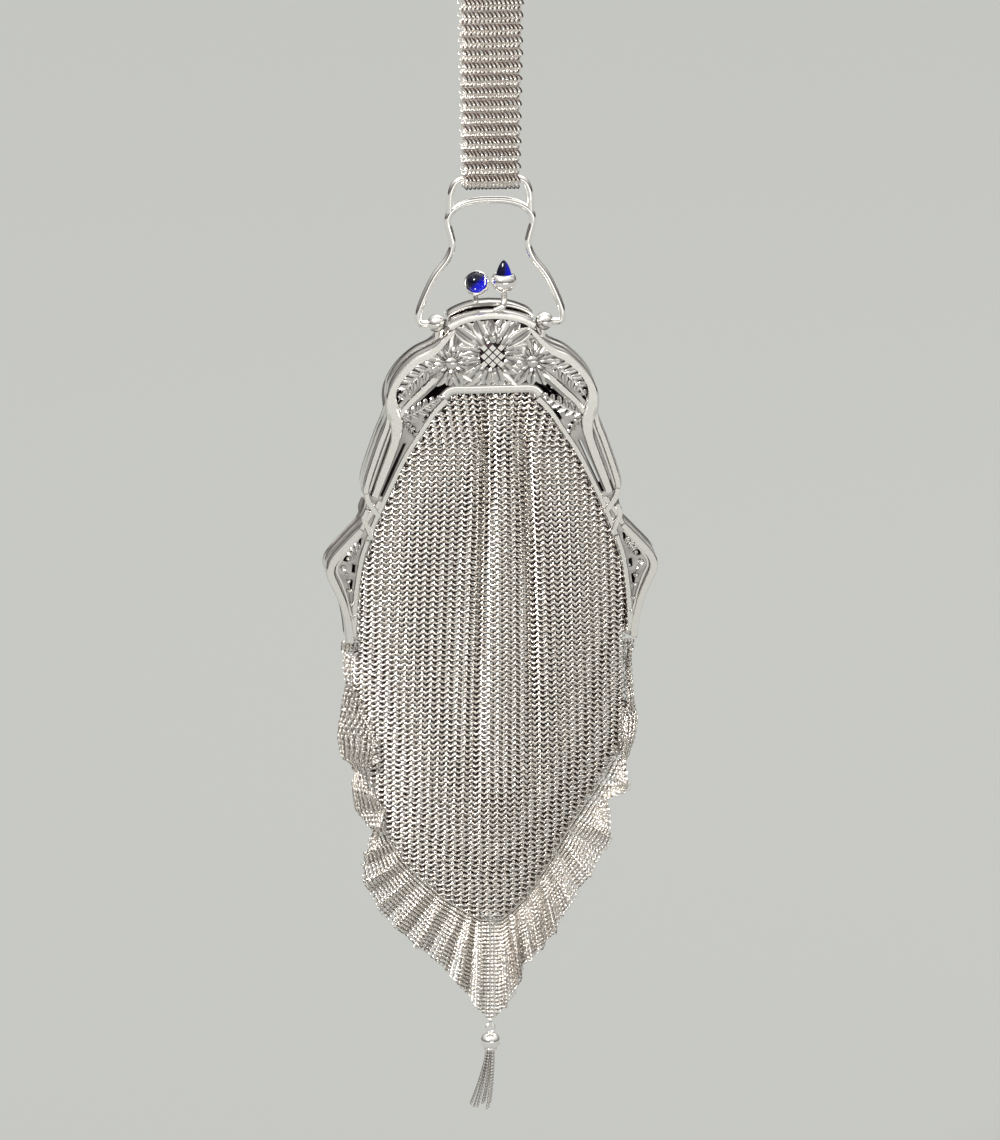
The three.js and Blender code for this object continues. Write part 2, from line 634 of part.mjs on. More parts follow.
// Bag
const endWidth = innerEdge[1].across * frameHalfWidth;
const bagRows = [
  ...upperRows.map((r) => {
    const half = lookUp([...innerEdge].reverse(), "down", "across", r.down) * frameHalfWidth - clearance * 2;
    const bagTop = { z: frameTopZ - r.down * frameHeight, left: half, right: half };
    return { ...bagTop, belly: r.belly * bagBelly, edge: frameDepth / 2 - clearance };
  }),
  ...lowerRows.map((r) => ({
    z: frameEndZ - r.down * lowerLength,
    left: r.left * endWidth,
    right: r.right * endWidth,
    belly: r.belly * bagBelly,
    edge: THREE.MathUtils.lerp(seamThickness / 2, frameDepth / 2 - clearance, r.edge),
  })),
];
const topRow = bagRows[0];
const foldEndZ = frameTopZ - frameHeight * gatherFade.end;

// How far the gathers draw the front in at a place on it.
function foldDepth(x, z) {
  const fall = THREE.MathUtils.clamp((topRow.z - z) / (topRow.z - foldEndZ), 0, 1);
  const fade = (1 - fall) * Math.min(1, gatherFade.start + fall * gatherFade.grow);
  let depth = 0;
  for (const fold of folds) {
    const middle = THREE.MathUtils.lerp(fold.top, fold.low, fall) * endWidth;
    const off = (x - middle) / (fold.wide * endWidth);
    depth += fold.deep * bagBelly * Math.exp(-off * off) * fade;
  }
  return depth;
}

// A closed ring of points round the bag at one row, drawn in by inset.
function bagRing(row, inset, columns) {
  const left = row.left - inset;
  const right = row.right - inset;
  const edge = Math.max(row.edge - inset, clearance / 2);
  const sheet = (side) => {
    const points = [];
    for (let i = 0; i <= columns; i++) {
      const even = (2 * i) / columns - 1;
      const s = (even - Math.cos((i / columns) * Math.PI)) / 2;
      const x = s < 0 ? s * left : s * right;
      const full = (1 - s * s) ** bagRoundness;
      const out = edge + (row.belly - inset - edge) * full - foldDepth(x, row.z) * full;
      points.push(new THREE.Vector3(x, side * out, row.z));
    }
    return points;
  };
  return [...sheet(-1), ...sheet(1).reverse()];
}

function bagGeometry() {
  const columns = 14;
  const outer = loft(bagRows.map((row) => bagRing(row, 0, columns)));
  const roomy = (row) => row.left + row.right > bagWall * 8;
  const hollowRows = bagRows.filter((row, i) => (i % 2 === 0 || i < 3) && roomy(row));
  const above = { ...topRow, z: topRow.z + bagWall };
  const hollow = loft([above, ...hollowRows].map((row) => bagRing(row, bagWall, columns)));
  const room = frameDepth - (plateThickness + clearance) * 2;
  const mouth = new THREE.BoxGeometry(frameHalfWidth * 2, room, frameHeight);
  mouth.translate(0, 0, frameEndZ + frameHeight / 2);
  return geometryOf(solid(outer).subtract(solid(hollow)).subtract(solid(mouth)));
}
place("bag", bagGeometry(), meshSilver);

// Frill: a ruffled strip whose inner edge follows the bag's edge
function seamPoint(side, share) {
  const z = frameEndZ - share * lowerLength;
  const half = lookUp(lowerRows, "down", side < 0 ? "left" : "right", share) * endWidth;
  return new THREE.Vector2(side * half, z);
}
// The seam at a share of the frill's stations: between two on one side it follows the bag's straight rows.
function seamAlong(share) {
  const station = share * (frillRows.length - 1);
  const first = Math.min(Math.floor(station), frillRows.length - 2);
  const past = station - first;
  const [a, b] = [frillRows[first], frillRows[first + 1]];
  if (a.side === b.side) return seamPoint(a.side, THREE.MathUtils.lerp(a.seam, b.seam, past));
  return seamPoint(a.side, a.seam).lerp(seamPoint(b.side, b.seam), past);
}
function frillGeometry() {
  const steps = frillRuffles * 4;
  const half = frillThickness / 2;
  const shares = [0, 0.45, 1]; // from the seam to the outer edge
  const outer = new THREE.SplineCurve(
    frillRows.map((r) => new THREE.Vector2(r.across * endWidth, frameEndZ - r.down * lowerLength)),
  );
  const rings = [];
  for (let i = 0; i <= steps; i++) {
    const share = i / steps;
    const from = seamAlong(share);
    const to = outer.getPoint(share);
    const along = to.clone().sub(from).normalize();
    const point = from.clone().addScaledVector(along, seamGap);
    const wave = Math.sin(share * frillRuffles * Math.PI * 2) * frillWave;
    // flat where the tassel's link hangs in it
    const calm = THREE.MathUtils.clamp(Math.abs(share - 0.5) * 20 - 0.1, 0, 1);
    const at = (out, y) => {
      const p = point.clone().lerp(to, out);
      return new THREE.Vector3(p.x, y, p.y);
    };
    const front = shares.map((s) => at(s, wave * s * calm - half));
    const back = shares.map((s) => at(s, wave * s * calm + half)).reverse();
    rings.push([...front, ...back]);
  }
  return loft(rings);
}
const frillTipRow = frillRows.find((row) => row.side === 0);
const frillTipZ = frameEndZ - frillTipRow.down * lowerLength;
const tipHole = linkWire / 2 + clearance * 2;
const holeZ = frillTipZ + tipHole + linkWire;
const tipCut = new THREE.CylinderGeometry(tipHole, tipHole, frillWave * 4, 10).translate(0, 0, holeZ);
place("frill", geometryOf(solid(frillGeometry()).subtract(solid(tipCut))), meshSilver);

// Tassel: one link, a cap with a ring, and strands fused into one swung bunch
const linkMiddle = holeZ - linkLength / 2 + linkWire / 2;
function linkGeometry(length, width, wireSize) {
  const path = [];
  const turns = 16;
  for (let i = 0; i < turns; i++) {
    const turn = (i / turns) * Math.PI * 2;
    const reach = new THREE.Vector2(width - wireSize, length - wireSize).divideScalar(2);
    path.push(new THREE.Vector2(Math.cos(turn), Math.sin(turn)).multiply(reach));
  }
  const rings = path.map((p) => {
    const way = p.clone().normalize();
    const ring = [];
    for (let k = 0; k < 6; k++) {
      const turn = (k / 6) * Math.PI * 2;
      const out = (Math.cos(turn) * wireSize) / 2;
      ring.push(new THREE.Vector3(p.x + way.x * out, (Math.sin(turn) * wireSize) / 2, p.y + way.y * out));
    }
    return ring;
  });
  return loft(rings, true);
}
const link = linkGeometry(linkLength, linkWidth, linkWire).rotateZ(Math.PI / 2);
place("tassel_link", link.translate(0, 0, linkMiddle), silver);

const capRing = linkWidth;
const ringHang = linkWire * 2 + clearance * 4 / 3; // how far the cap's ring reaches up into the link
const capRingZ = linkMiddle - linkLength / 2 - capRing / 2 + ringHang;
const capZ = capRingZ - capRing / 2 - capRadius * capSquash + linkWire / 2;
function tasselGeometry() {
  let shape = solid(linkGeometry(capRing, capRing, linkWire).translate(0, 0, capRingZ));
  const cap = new THREE.SphereGeometry(capRadius, 14, 8).scale(1, 1, capSquash).translate(0, 0, capZ);
  shape = shape.add(solid(cap));
  for (let i = 0; i < tasselStrands; i++) {
    const turn = (i / tasselStrands) * Math.PI * 2;
    const ring = i % 2 ? 1 : innerStrands;
    const way = new THREE.Vector3(Math.cos(turn), Math.sin(turn), 0);
    const from = way.clone().multiplyScalar(capRadius * strandRoot * ring);
    const to = way.clone().multiplyScalar(tasselSpread * strandEnd * ring);
    const strand = [0, 0.5, 1].map((share) => {
      const p = from.clone().lerp(to, share);
      const half = strandWidth / 2;
      const z = capZ - capRadius / 2 - share * tasselLength;
      const swing = -share * share * tasselSwing;
      return [[-1, -1], [1, -1], [1, 1], [-1, 1]].map(
        ([a, b]) => new THREE.Vector3(p.x + swing + a * half, p.y + b * half, z),
      );
    });
    shape = shape.add(solid(loft(strand)));
  }
  return geometryOf(shape);
}
place("tassel", tasselGeometry(), silver);

export default group;
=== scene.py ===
import math

import bmesh
import bpy
import numpy as np
from mathutils import Matrix, Vector


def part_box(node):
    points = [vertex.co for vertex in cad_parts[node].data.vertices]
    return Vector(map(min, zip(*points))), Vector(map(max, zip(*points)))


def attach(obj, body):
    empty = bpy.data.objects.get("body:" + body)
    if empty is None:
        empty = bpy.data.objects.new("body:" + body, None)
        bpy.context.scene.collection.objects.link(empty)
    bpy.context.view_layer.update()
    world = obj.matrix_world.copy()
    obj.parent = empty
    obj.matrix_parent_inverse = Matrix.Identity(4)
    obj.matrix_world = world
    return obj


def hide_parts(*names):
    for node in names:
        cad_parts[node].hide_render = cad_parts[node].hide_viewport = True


# Silver ring-mesh purse hanging by its strap. Metres, +Z up, the front faces -Y.
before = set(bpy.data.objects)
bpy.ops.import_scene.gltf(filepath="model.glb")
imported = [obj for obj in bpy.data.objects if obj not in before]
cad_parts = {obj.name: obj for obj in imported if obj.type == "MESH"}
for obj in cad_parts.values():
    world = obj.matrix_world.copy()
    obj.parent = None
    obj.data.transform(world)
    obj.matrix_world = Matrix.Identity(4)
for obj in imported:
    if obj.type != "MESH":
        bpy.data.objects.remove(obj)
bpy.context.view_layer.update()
mm = 0.001
rng = np.random.default_rng(7)
forwards = Vector((0, -1, 0))
joinWithin = 0.001 * mm

# the camera stands as the photograph's does
view = {
    "azimuth": -5,  # degrees, towards -X
    "elevation": 15,
    "distance": 9.0,
    "width": 360 * mm,  # what the picture shows across at the purse
    "middle": Vector((3.5 * mm, 0, -275.3 * mm)),
}
lowest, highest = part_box("frame_front")
jaw = {
    "half": 60 * mm,
    "top": highest.z,
    "end": lowest.z,
    "tall": highest.z - lowest.z,
    "face": -7.5 * mm,
    "plate": 1.6 * mm,
    "wall": 1.7 * mm,
    "gap": 1.8 * mm,  # between the closed jaws
    "backRise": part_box("frame_back")[1].z - highest.z,
    "riseFade": 0.101,  # share of the height over which that rise fades
}
pivotZ = jaw["top"] - 5.5 * mm
barZ = -130 * mm


def jawAt(across, down, out=0.0, rise=0.0):
    # a place on the front jaw: shares of its half width and height, and how far over its face
    lift = rise * max(0.0, 1 - down / jaw["riseFade"])
    return Vector((across * jaw["half"], jaw["face"] - out, jaw["top"] - down * jaw["tall"] + lift))


def shares(*values):
    # pairs of numbers given in thousandths
    return [(across / 1000, down / 1000) for across, down in zip(values[::2], values[1::2])]


def jawRow(pairs, side=1, out=0.0, rise=0.0):
    return [jawAt(side * across, down, out, rise) for across, down in pairs]


def smoothPath(points, steps):
    # Catmull-Rom through the points
    places = [Vector(p) for p in points]
    ends = [places[0] * 2 - places[1]] + places + [places[-1] * 2 - places[-2]]
    path = []
    for a, b, c, d in zip(ends, ends[1:], ends[2:], ends[3:]):
        for i in range(steps):
            t = i / steps
            even = b * 2 + (c - a) * t
            bend = (a * 2 - b * 5 + c * 4 - d) * t**2 + (b * 3 - a - c * 3 + d) * t**3
            path.append((even + bend) / 2)
    return path + [places[-1]]


def mirrored(points):
    return [Vector((-p.x, p.y, p.z)) for p in points]


def bothSides(half):
    # a right half that starts in the middle, after its mirror image
    return mirrored(half)[:0:-1] + half


def runOf(line):
    # how far along an array of places each of them lies
    return np.concatenate([[0], np.cumsum(np.linalg.norm(np.diff(line, axis=0), axis=1))])


def softened(values, window):
    weights = np.hanning(window)
    return np.convolve(np.pad(values, window // 2, mode="edge"), weights / weights.sum(), mode="valid")


def placeObject(name, data):
    thing = bpy.data.objects.new(name, data)
    bpy.context.scene.collection.objects.link(thing)
    return thing


# materials

def newMaterial(name):
    material = bpy.data.materials.new(name)
    material.use_nodes = True
    return material, material.node_tree, material.node_tree.nodes["Principled BSDF"]


def setInputs(tree, node, values):
    # a value is a number, a colour or the output of another node
    for name, value in values.items():
        if isinstance(value, bpy.types.NodeSocket):
            tree.links.new(value, node.inputs[name])
        else:
            node.inputs[name].default_value = value


def addNode(tree, kind, values, operation=None):
    node = tree.nodes.new(f"ShaderNode{kind}")
    if operation:
        node.operation = operation
    setInputs(tree, node, values)
    return node


def placeOf(tree, kind="Object"):
    return addNode(tree, "TexCoord", {}).outputs[kind]


def attributeOf(tree, name):
    node = addNode(tree, "Attribute", {})
    node.attribute_name = name
    return node.outputs["Fac"]


def silverMaterial(name, look):
    # bright metal that darkens with the painted shade and tarnish held in its vertices, and with tarnish in
    # faint patches
    look = {"darkRough": 0.5, "grainScale": 1500, "bump": 0.05, **look}
    material, tree, shader = newMaterial(name)
    place = placeOf(tree)
    patchy = look["patchy"]
    patches = addNode(tree, "TexNoise", {
        "Scale": look["patchScale"], "Detail": 5.0, "Roughness": 0.6, "Vector": place})
    spread = addNode(tree, "Math", {
        0: patches.outputs["Fac"], 1: patchy, 2: attributeOf(tree, "shade_and_tarnish")}, "MULTIPLY_ADD")
    amount = addNode(tree, "Math", {0: spread.outputs[0], 1: patchy * 0.5}, "SUBTRACT")
    amount.use_clamp = True
    colour = tree.nodes.new("ShaderNodeMix")
    colour.data_type = "RGBA"
    setInputs(tree, colour, {
        "A": (*look["bright"], 1), "B": (*look["dark"], 1), "Factor": amount.outputs[0]})
    rough = addNode(tree, "MapRange", {
        "To Min": look["rough"], "To Max": look["darkRough"], "Value": amount.outputs[0]})
    grain = addNode(tree, "TexNoise", {"Scale": look["grainScale"], "Detail": 3.0, "Vector": place})
    bump = addNode(tree, "Bump", {
        "Strength": look["bump"], "Distance": 0.1 * mm, "Height": grain.outputs["Fac"]})
    setInputs(tree, shader, {
        "Metallic": 1.0, "Base Color": colour.outputs["Result"], "Roughness": rough.outputs[0],
        "Normal": bump.outputs["Normal"]})
    return material


def stoneMaterial():
    # the "glow" of its vertices is where light gathers in the stone
    material, tree, shader = newMaterial("blueCabochon")
    cloud = addNode(tree, "TexNoise", {"Scale": 260.0, "Detail": 2.0, "Vector": placeOf(tree)})
    depth = addNode(tree, "Math", {
        0: cloud.outputs["Fac"], 1: 0.05, 2: attributeOf(tree, "glow")}, "MULTIPLY_ADD")
    ramp = addNode(tree, "ValToRGB", {"Fac": depth.outputs[0]})
    ramp.color_ramp.interpolation = "EASE"
    ramp.color_ramp.elements[0].color = (0.0005, 0.0005, 0.008, 1)
    ramp.color_ramp.elements[1].color = (0.006, 0.01, 0.95, 1)
    setInputs(tree, shader, {
        "Base Color": ramp.outputs["Color"], "Roughness": 0.04, "IOR": 1.55, "Specular IOR Level": 0.3})
    return material


# each metal's dark colour is what its painted shade and tarnish darken it towards
polished = silverMaterial("polishedSilver", {
    "bright": (0.95, 0.93, 0.9), "dark": (0.1, 0.07, 0.06), "rough": 0.12, "patchScale": 90, "patchy": 0.12,
})
cast = silverMaterial("castSilver", {
    "bright": (0.87, 0.85, 0.815), "dark": (0.025, 0.016, 0.02), "rough": 0.15,
    "patchScale": 120, "patchy": 0.2,
})
ringSilver = silverMaterial("ringMeshSilver", {
    "bright": (1.0, 0.95, 0.89), "dark": (0.085, 0.05, 0.044), "rough": 0.25, "darkRough": 0.6,
    "patchScale": 60, "patchy": 0.15, "grainScale": 4000, "bump": 0.1,
})
blueStone = stoneMaterial()
print("materials made")


# pieces

def finishPiece(name, form, material, nodes, body="purse"):
    mesh = form if isinstance(form, bpy.types.Mesh) else meshOf(form, name)
    mesh.materials.clear()
    mesh.materials.append(material)
    piece = placeObject(name, mesh)
    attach(piece, body)
    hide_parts(*nodes)
    print(name, len(mesh.polygons), "faces")


def newBody():
    bm = bmesh.new()
    bm.verts.layers.float.new("shade_and_tarnish")
    return bm


def meshOf(bm, name, sharp=38):
    mesh = bpy.data.meshes.new(name)
    bm.to_mesh(mesh)
    bm.free()
    mesh.shade_smooth()
    mesh.set_sharp_from_angle(angle=math.radians(sharp))
    return mesh


def addTo(target, source, matrix=None):
    if matrix is not None:
        bmesh.ops.transform(source, matrix=matrix, verts=source.verts)
    bmesh.ops.recalc_face_normals(source, faces=source.faces)
    mesh = bpy.data.meshes.new("part")
    source.to_mesh(mesh)
    source.free()
    target.from_mesh(mesh)
    bpy.data.meshes.remove(mesh)


# painted shade in a section: how dark its underside is where it meets the plate, its dish and its foot
section = {
    "vein": 0.14,  # half width of a groove, as a share of the section's
    "bowl": 0.85,  # of a dish
    "rim": 0.05,  # below this height it meets the plate
    "grooved": 1.0,  # how dark it is there beside a groove
    "plain": 0.75,  # and without one
    "bowlShade": 0.45,
    "footShade": 0.8,
}


def sweep(target, path, width, height, facing, sides=10, flat=1.0, dish=0.0, groove=0.0, under=0.3,
          foot=0.0, rib=0.0, closed=False):
    # a section along a path. width, height: one value, or one for each point. flat: over 1 its top is
    # level. dish: its middle lies lower and is painted darker, as shade. groove: a vein down its middle,
    # painted dark as shade. under: height of its lower half; below 1, its underside is painted dark as shade
    # where it meets the plate. foot: share of its length painted dark at the start, as shade where it meets
    # what it grows from. rib: how dark every other point is painted, as shade.
    bm = bmesh.new()
    shade_and_tarnish = bm.verts.layers.float.new("shade_and_tarnish")
    across = bm.verts.layers.float.new("across")
    lift = bm.verts.layers.float.new("lift")
    own = bm.verts.layers.float.new("own")
    count = len(path)
    wide = width if isinstance(width, list) else [width] * count
    high = height if isinstance(height, list) else [height] * count
    low = section["grooved"] if groove else section["plain"] if under < 1 else 0
    verts = bmesh.ops.create_circle(bm, segments=sides, radius=1.0)["verts"]
    for v in verts:
        dip = groove * math.exp(-((v.co.x / section["vein"]) ** 2)) if v.co.y > section["rim"] else 0
        bowl = dish * max(0.0, 1 - (v.co.x / section["bowl"]) ** 2)
        v[across] = v.co.x
        v[lift] = min(1.0, v.co.y * flat) * (1 - bowl) * (1 - dip) if v.co.y > 0 else v.co.y * under
        # painted shade on the underside where it meets the plate, in the groove and in the dish's middle
        dark = low if v.co.y < section["rim"] else 0
        v[own] = min(1.0, dip + section["bowlShade"] * bowl + dark)
    edges = bm.edges[:]
    firstEdges = edges
    for i, place in enumerate(path):
        before = path[(i - 1) % count] if closed else path[max(i - 1, 0)]
        after = path[(i + 1) % count] if closed else path[min(i + 1, count - 1)]
        along = (after - before).normalized()
        side = along.cross(facing).normalized()
        upward = side.cross(along)
        if i:
            grown = bmesh.ops.extrude_edge_only(bm, edges=edges)["geom"]
            verts = [g for g in grown if isinstance(g, bmesh.types.BMVert)]
            inside = set(verts)
            edges = [g for g in grown if isinstance(g, bmesh.types.BMEdge) and set(g.verts) <= inside]
        # painted shade at the foot, fading along its length, and on every other point when rib is given
        fade = section["footShade"] - i / count / foot if foot else 0
        for v in verts:
            v.co = place + side * (v[across] * wide[i] / 2) + upward * (v[lift] * high[i])
            v[shade_and_tarnish] = max(v[own], fade, 0 if i % 2 else rib)
    if closed:
        bmesh.ops.bridge_loops(bm, edges=firstEdges + edges)
    else:
        bmesh.ops.holes_fill(bm, edges=[e for e in bm.edges if e.is_boundary])
    for spare in ("across", "lift", "own"):
        bm.verts.layers.float.remove(bm.verts.layers.float[spare])
    addTo(target, bm)


def lathe(target, profile, steps, matrix):
    # a profile of (radius, height) spun about Z, then placed
    bm = newBody()
    verts = [bm.verts.new((r, 0, h)) for r, h in profile]
    edges = [bm.edges.new(pair) for pair in zip(verts, verts[1:])]
    bmesh.ops.spin(
        bm, geom=verts + edges, cent=(0, 0, 0), axis=(0, 0, 1), angle=math.tau, steps=steps, use_merge=True)
    bmesh.ops.remove_doubles(bm, verts=bm.verts, dist=joinWithin)
    addTo(target, bm, matrix)


def torus(target, middle, along, facing, length, width, wire, around=20, sides=8):
    # an oval wire ring that stands along one way and faces another
    across = along.cross(facing).normalized()
    path = []
    for i in range(around):
        turn = i / around * math.tau
        sideways = across * (math.cos(turn) * (width - wire) / 2)
        upward = along * (math.sin(turn) * (length - wire) / 2)
        path.append(middle + (sideways + upward))
    sweep(target, path, wire, wire / 2, facing, sides=sides, under=1.0, closed=True)


def plate(target, outline, holes, nearY, farY, bevel, shade_and_tarnish=0.0, inside=0.0):
    # a flat outline with holes and rounded edges, from one plane back to another.
    # then how dark its face is painted, as tarnish and shade, and inside: how dark the side turned away is
    # painted, as shade.
    curve = bpy.data.curves.new("plate", "CURVE")
    curve.dimensions = "2D"
    curve.fill_mode = "BOTH"
    curve.extrude = (farY - nearY) / 2 - bevel
    curve.bevel_depth = bevel
    curve.bevel_resolution = 1
    curve.offset = -bevel
    for loop in [outline, *holes]:
        spline = curve.splines.new("POLY")
        spline.points.add(len(loop) - 1)
        spline.use_cyclic_u = True
        for point, place in zip(spline.points, loop):
            point.co = (place.x, place.z, 0, 1)
    holder = placeObject("plate", curve)
    flat = bpy.data.meshes.new_from_object(holder.evaluated_get(bpy.context.evaluated_depsgraph_get()))
    bpy.data.objects.remove(holder)
    bpy.data.curves.remove(curve)
    bm = bmesh.new()
    bm.from_mesh(flat)
    bpy.data.meshes.remove(flat)
    layer = bm.verts.layers.float.new("shade_and_tarnish")
    # painted shade and tarnish on the face, painted shade on the side turned away
    for v in bm.verts:
        v[layer] = shade_and_tarnish if v.co.z > 0 else inside
    bmesh.ops.remove_doubles(bm, verts=bm.verts, dist=joinWithin)
    upright = Matrix.Translation((0, (nearY + farY) / 2, 0)) @ Matrix.Rotation(math.pi / 2, 4, "X")
    addTo(target, bm, upright)


# ring mesh: one ring is spun, and a sheet is many of them joined

dullSpread = 0.06  # how much the rings of a sheet differ


def ringShape(ring):
    bm = bmesh.new()
    bmesh.ops.create_circle(bm, segments=ring["sides"], radius=ring["wire"] / 2)
    bmesh.ops.rotate(bm, verts=bm.verts, cent=(0, 0, 0), matrix=Matrix.Rotation(math.pi / 2, 3, "X"))
    bmesh.ops.translate(bm, verts=bm.verts, vec=(ring["across"] / 2, 0, 0))
    bmesh.ops.spin(
        bm, geom=bm.verts[:] + bm.edges[:], cent=(0, 0, 0), axis=(0, 0, 1), angle=math.tau,
        steps=ring["around"], use_merge=True)
    bmesh.ops.recalc_face_normals(bm, faces=bm.faces)
    bm.verts.index_update()
    points = np.array([v.co[:] for v in bm.verts])
    quads = np.array([[v.index for v in f.verts] for f in bm.faces])
    bm.free()
    return points, quads


def unit(vectors):
    return vectors / np.maximum(np.linalg.norm(vectors, axis=1, keepdims=True), 1e-9)


def turnedPair(first, second, angle):
    c, s = np.cos(angle)[:, None], np.sin(angle)[:, None]
    return first * c + second * s, second * c - first * s


def ringMesh(name, ring, centre, right, up, ways):
    # ways, for each ring: lean tips its top outwards, turn swings its right side outwards and roll
    # turns it within the sheet, in radians; then its scale, and how much darker it is painted, as shade that
    # differs from row to row
    lean, turn, roll, scale, rowShadeAndDull = np.array(ways, dtype=float).T
    points, quads = ringShape(ring)
    count, size = len(centre), len(points)
    right = unit(right)
    out = unit(np.cross(right, unit(up)))
    up = np.cross(out, right)
    right, up = turnedPair(right, up, roll)
    across, face = turnedPair(right, out, turn + rng.normal(0, ring["jitter"], count))
    high, axis = turnedPair(up, face, lean + rng.normal(0, ring["jitter"], count))
    local = points[None, :, :, None]
    spokes = sum(local[:, :, k] * way[:, None] for k, way in enumerate((across, high, axis)))
    spokes *= scale[:, None, None]
    # painted shade and tarnish: the deeper a vertex lies under the sheet's outer face, the darker it is
    # painted
    depth = (spokes * out[:, None]).sum(2) / (ring["across"] / 2)
    rowShadeAndDull = rowShadeAndDull + rng.normal(0, dullSpread, count)
    shade_and_tarnish = (ring["shadeFrom"] - depth) / ring["shadeOver"] + rowShadeAndDull[:, None]
    mesh = bpy.data.meshes.new(name)
    mesh.vertices.add(count * size)
    mesh.vertices.foreach_set("co", (centre[:, None] + spokes).astype(np.float32).ravel())
    corners = (quads[None] + (np.arange(count) * size)[:, None, None]).reshape(-1, 4)
    mesh.loops.add(corners.size)
    mesh.loops.foreach_set("vertex_index", corners.astype(np.int32).ravel())
    mesh.polygons.add(len(corners))
    mesh.polygons.foreach_set("loop_start", np.arange(0, corners.size, 4, dtype=np.int32))
    mesh.update(calc_edges=True)
    mesh.shade_smooth()
    layer = mesh.attributes.new("shade_and_tarnish", "FLOAT", "POINT")
    layer.data.foreach_set("value", np.clip(shade_and_tarnish, 0, 1).astype(np.float32).ravel())
    return mesh


# bag

bag = {
    # the ring's last two numbers: the depth where its painted shade and tarnish start, and over how much
    # depth they grow
    "ring": {"across": 2.82 * mm, "wire": 0.62 * mm, "around": 8, "sides": 4, "jitter": 0.06,
             "shadeFrom": 0.03, "shadeOver": 0.38},
    "backWire": 0.8 * mm,
    "pitch": 3.15 * mm,
    "rowStep": 1.0 * mm,
    # the last of each row's ways paints that row darker or lighter, as shade
    "rows": ((-0.62, 0, 0, 1.06, -0.1), (1.02, 0, 0, 0.86, 0.25)),  # ways of one row and of the next
    "endWidth": 48.84 * mm,
    "belly": 12 * mm,
    "roundness": 0.8,
    "frameEdge": 7.0 * mm,  # half thickness of its edges inside the jaws
    "endEdge": 5.0 * mm,  # at the jaws' ends
    "seamEdge": 0.6 * mm,  # and along the frill
    "edgeFade": 0.3,  # share of the length below the jaws over which it thins
    "upper": [  # share down the jaws, half width as a share of theirs, belly
        (0.252, 0.225, 0.6), (0.3, 0.33, 0.68), (0.36, 0.41, 0.76), (0.44, 0.51, 0.84),
        (0.54, 0.605, 0.91), (0.66, 0.705, 0.96), (0.78, 0.78, 0.98), (0.9, 0.807, 0.99),
        (0.975, 0.808, 0.99),
    ],
    "lower": [  # share below the jaws' ends, left and right as shares of endWidth, belly
        (0.03, 0.985, 0.985, 0.99), (0.097, 1.01, 0.985, 1), (0.269, 1, 1, 0.97), (0.38, 0.95, 0.97, 0.94),
        (0.523, 0.86, 0.8, 0.87), (0.6, 0.82, 0.68, 0.8), (0.667, 0.78, 0.59, 0.73),
        (0.724, 0.73, 0.52, 0.65), (0.792, 0.63, 0.44, 0.56), (0.85, 0.51, 0.36, 0.46),
        (0.918, 0.35, 0.27, 0.34), (0.964, 0.2, 0.17, 0.25), (1, 0.07, 0.07, 0.17),
    ],
    "folds": [  # where at the top and low down, how wide, as shares of endWidth, and deep, of belly
        (-0.04, -0.17, 0.05, 0.42), (0.225, 0.34, 0.055, 0.4), (0.08, 0.07, 0.09, -0.1),
        (-0.18, -0.44, 0.09, 0.1), (0.38, 0.64, 0.09, 0.1), (-0.3, -0.7, 0.07, 0.05),
    ],
    "foldEnd": 1.75,  # share down the jaws where the folds are gone
    "margin": 0.6 * mm,  # left free at the sides of a row
    "tip": 1.5 * mm,  # and at the bag's tip
}
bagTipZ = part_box("bag")[0].z
lowerLength = jaw["end"] - bagTipZ


def bagColumns():
    # heights every half millimetre, with the half widths, belly and edge there
    rows = []
    for down, half, belly in bag["upper"]:
        edge = bag["frameEdge"] + (bag["endEdge"] - bag["frameEdge"]) * max(0, down - 0.7) / 0.3
        width = half * jaw["half"]
        rows.append((jaw["top"] - down * jaw["tall"], width, width, belly, edge))
    for down, left, right, belly in bag["lower"]:
        thin = max(0, 1 - down / bag["edgeFade"]) ** 1.5
        edge = bag["seamEdge"] + (bag["endEdge"] - bag["seamEdge"]) * thin
        z = jaw["end"] - down * lowerLength
        rows.append((z, left * bag["endWidth"], right * bag["endWidth"], belly, edge))
    table = np.array(rows)[::-1]
    heights = np.arange(table[0, 0], table[-1, 0], 0.5 * mm)
    return heights, [softened(np.interp(heights, table[:, 0], table[:, k]), 15) for k in range(1, 5)]


bagHeights, bagShape = bagColumns()
bagTopZ = jaw["top"] - bag["upper"][0][0] * jaw["tall"]
foldLength = bagTopZ - (jaw["top"] - bag["foldEnd"] * jaw["tall"])


def bagFront(x, z):
    # Y of the front sheet at arrays of x and z
    left, right, belly, edge = [np.interp(z, bagHeights, column) for column in bagShape]
    s = np.clip(np.where(x < 0, x / left, x / right), -1, 1)
    full = (1 - s * s) ** bag["roundness"]
    fall = np.clip((bagTopZ - z) / foldLength, 0, 1)
    fade = (1 - fall) * np.minimum(1, 0.35 + fall * 6)
    fold = 0
    for top, low, wide, deep in bag["folds"]:
        off = (x - (top + (low - top) * fall) * bag["endWidth"]) / (wide * bag["endWidth"])
        fold = fold + deep * bag["belly"] * np.exp(-off * off) * fade
    return -(edge + (belly * bag["belly"] - edge - fold) * full)


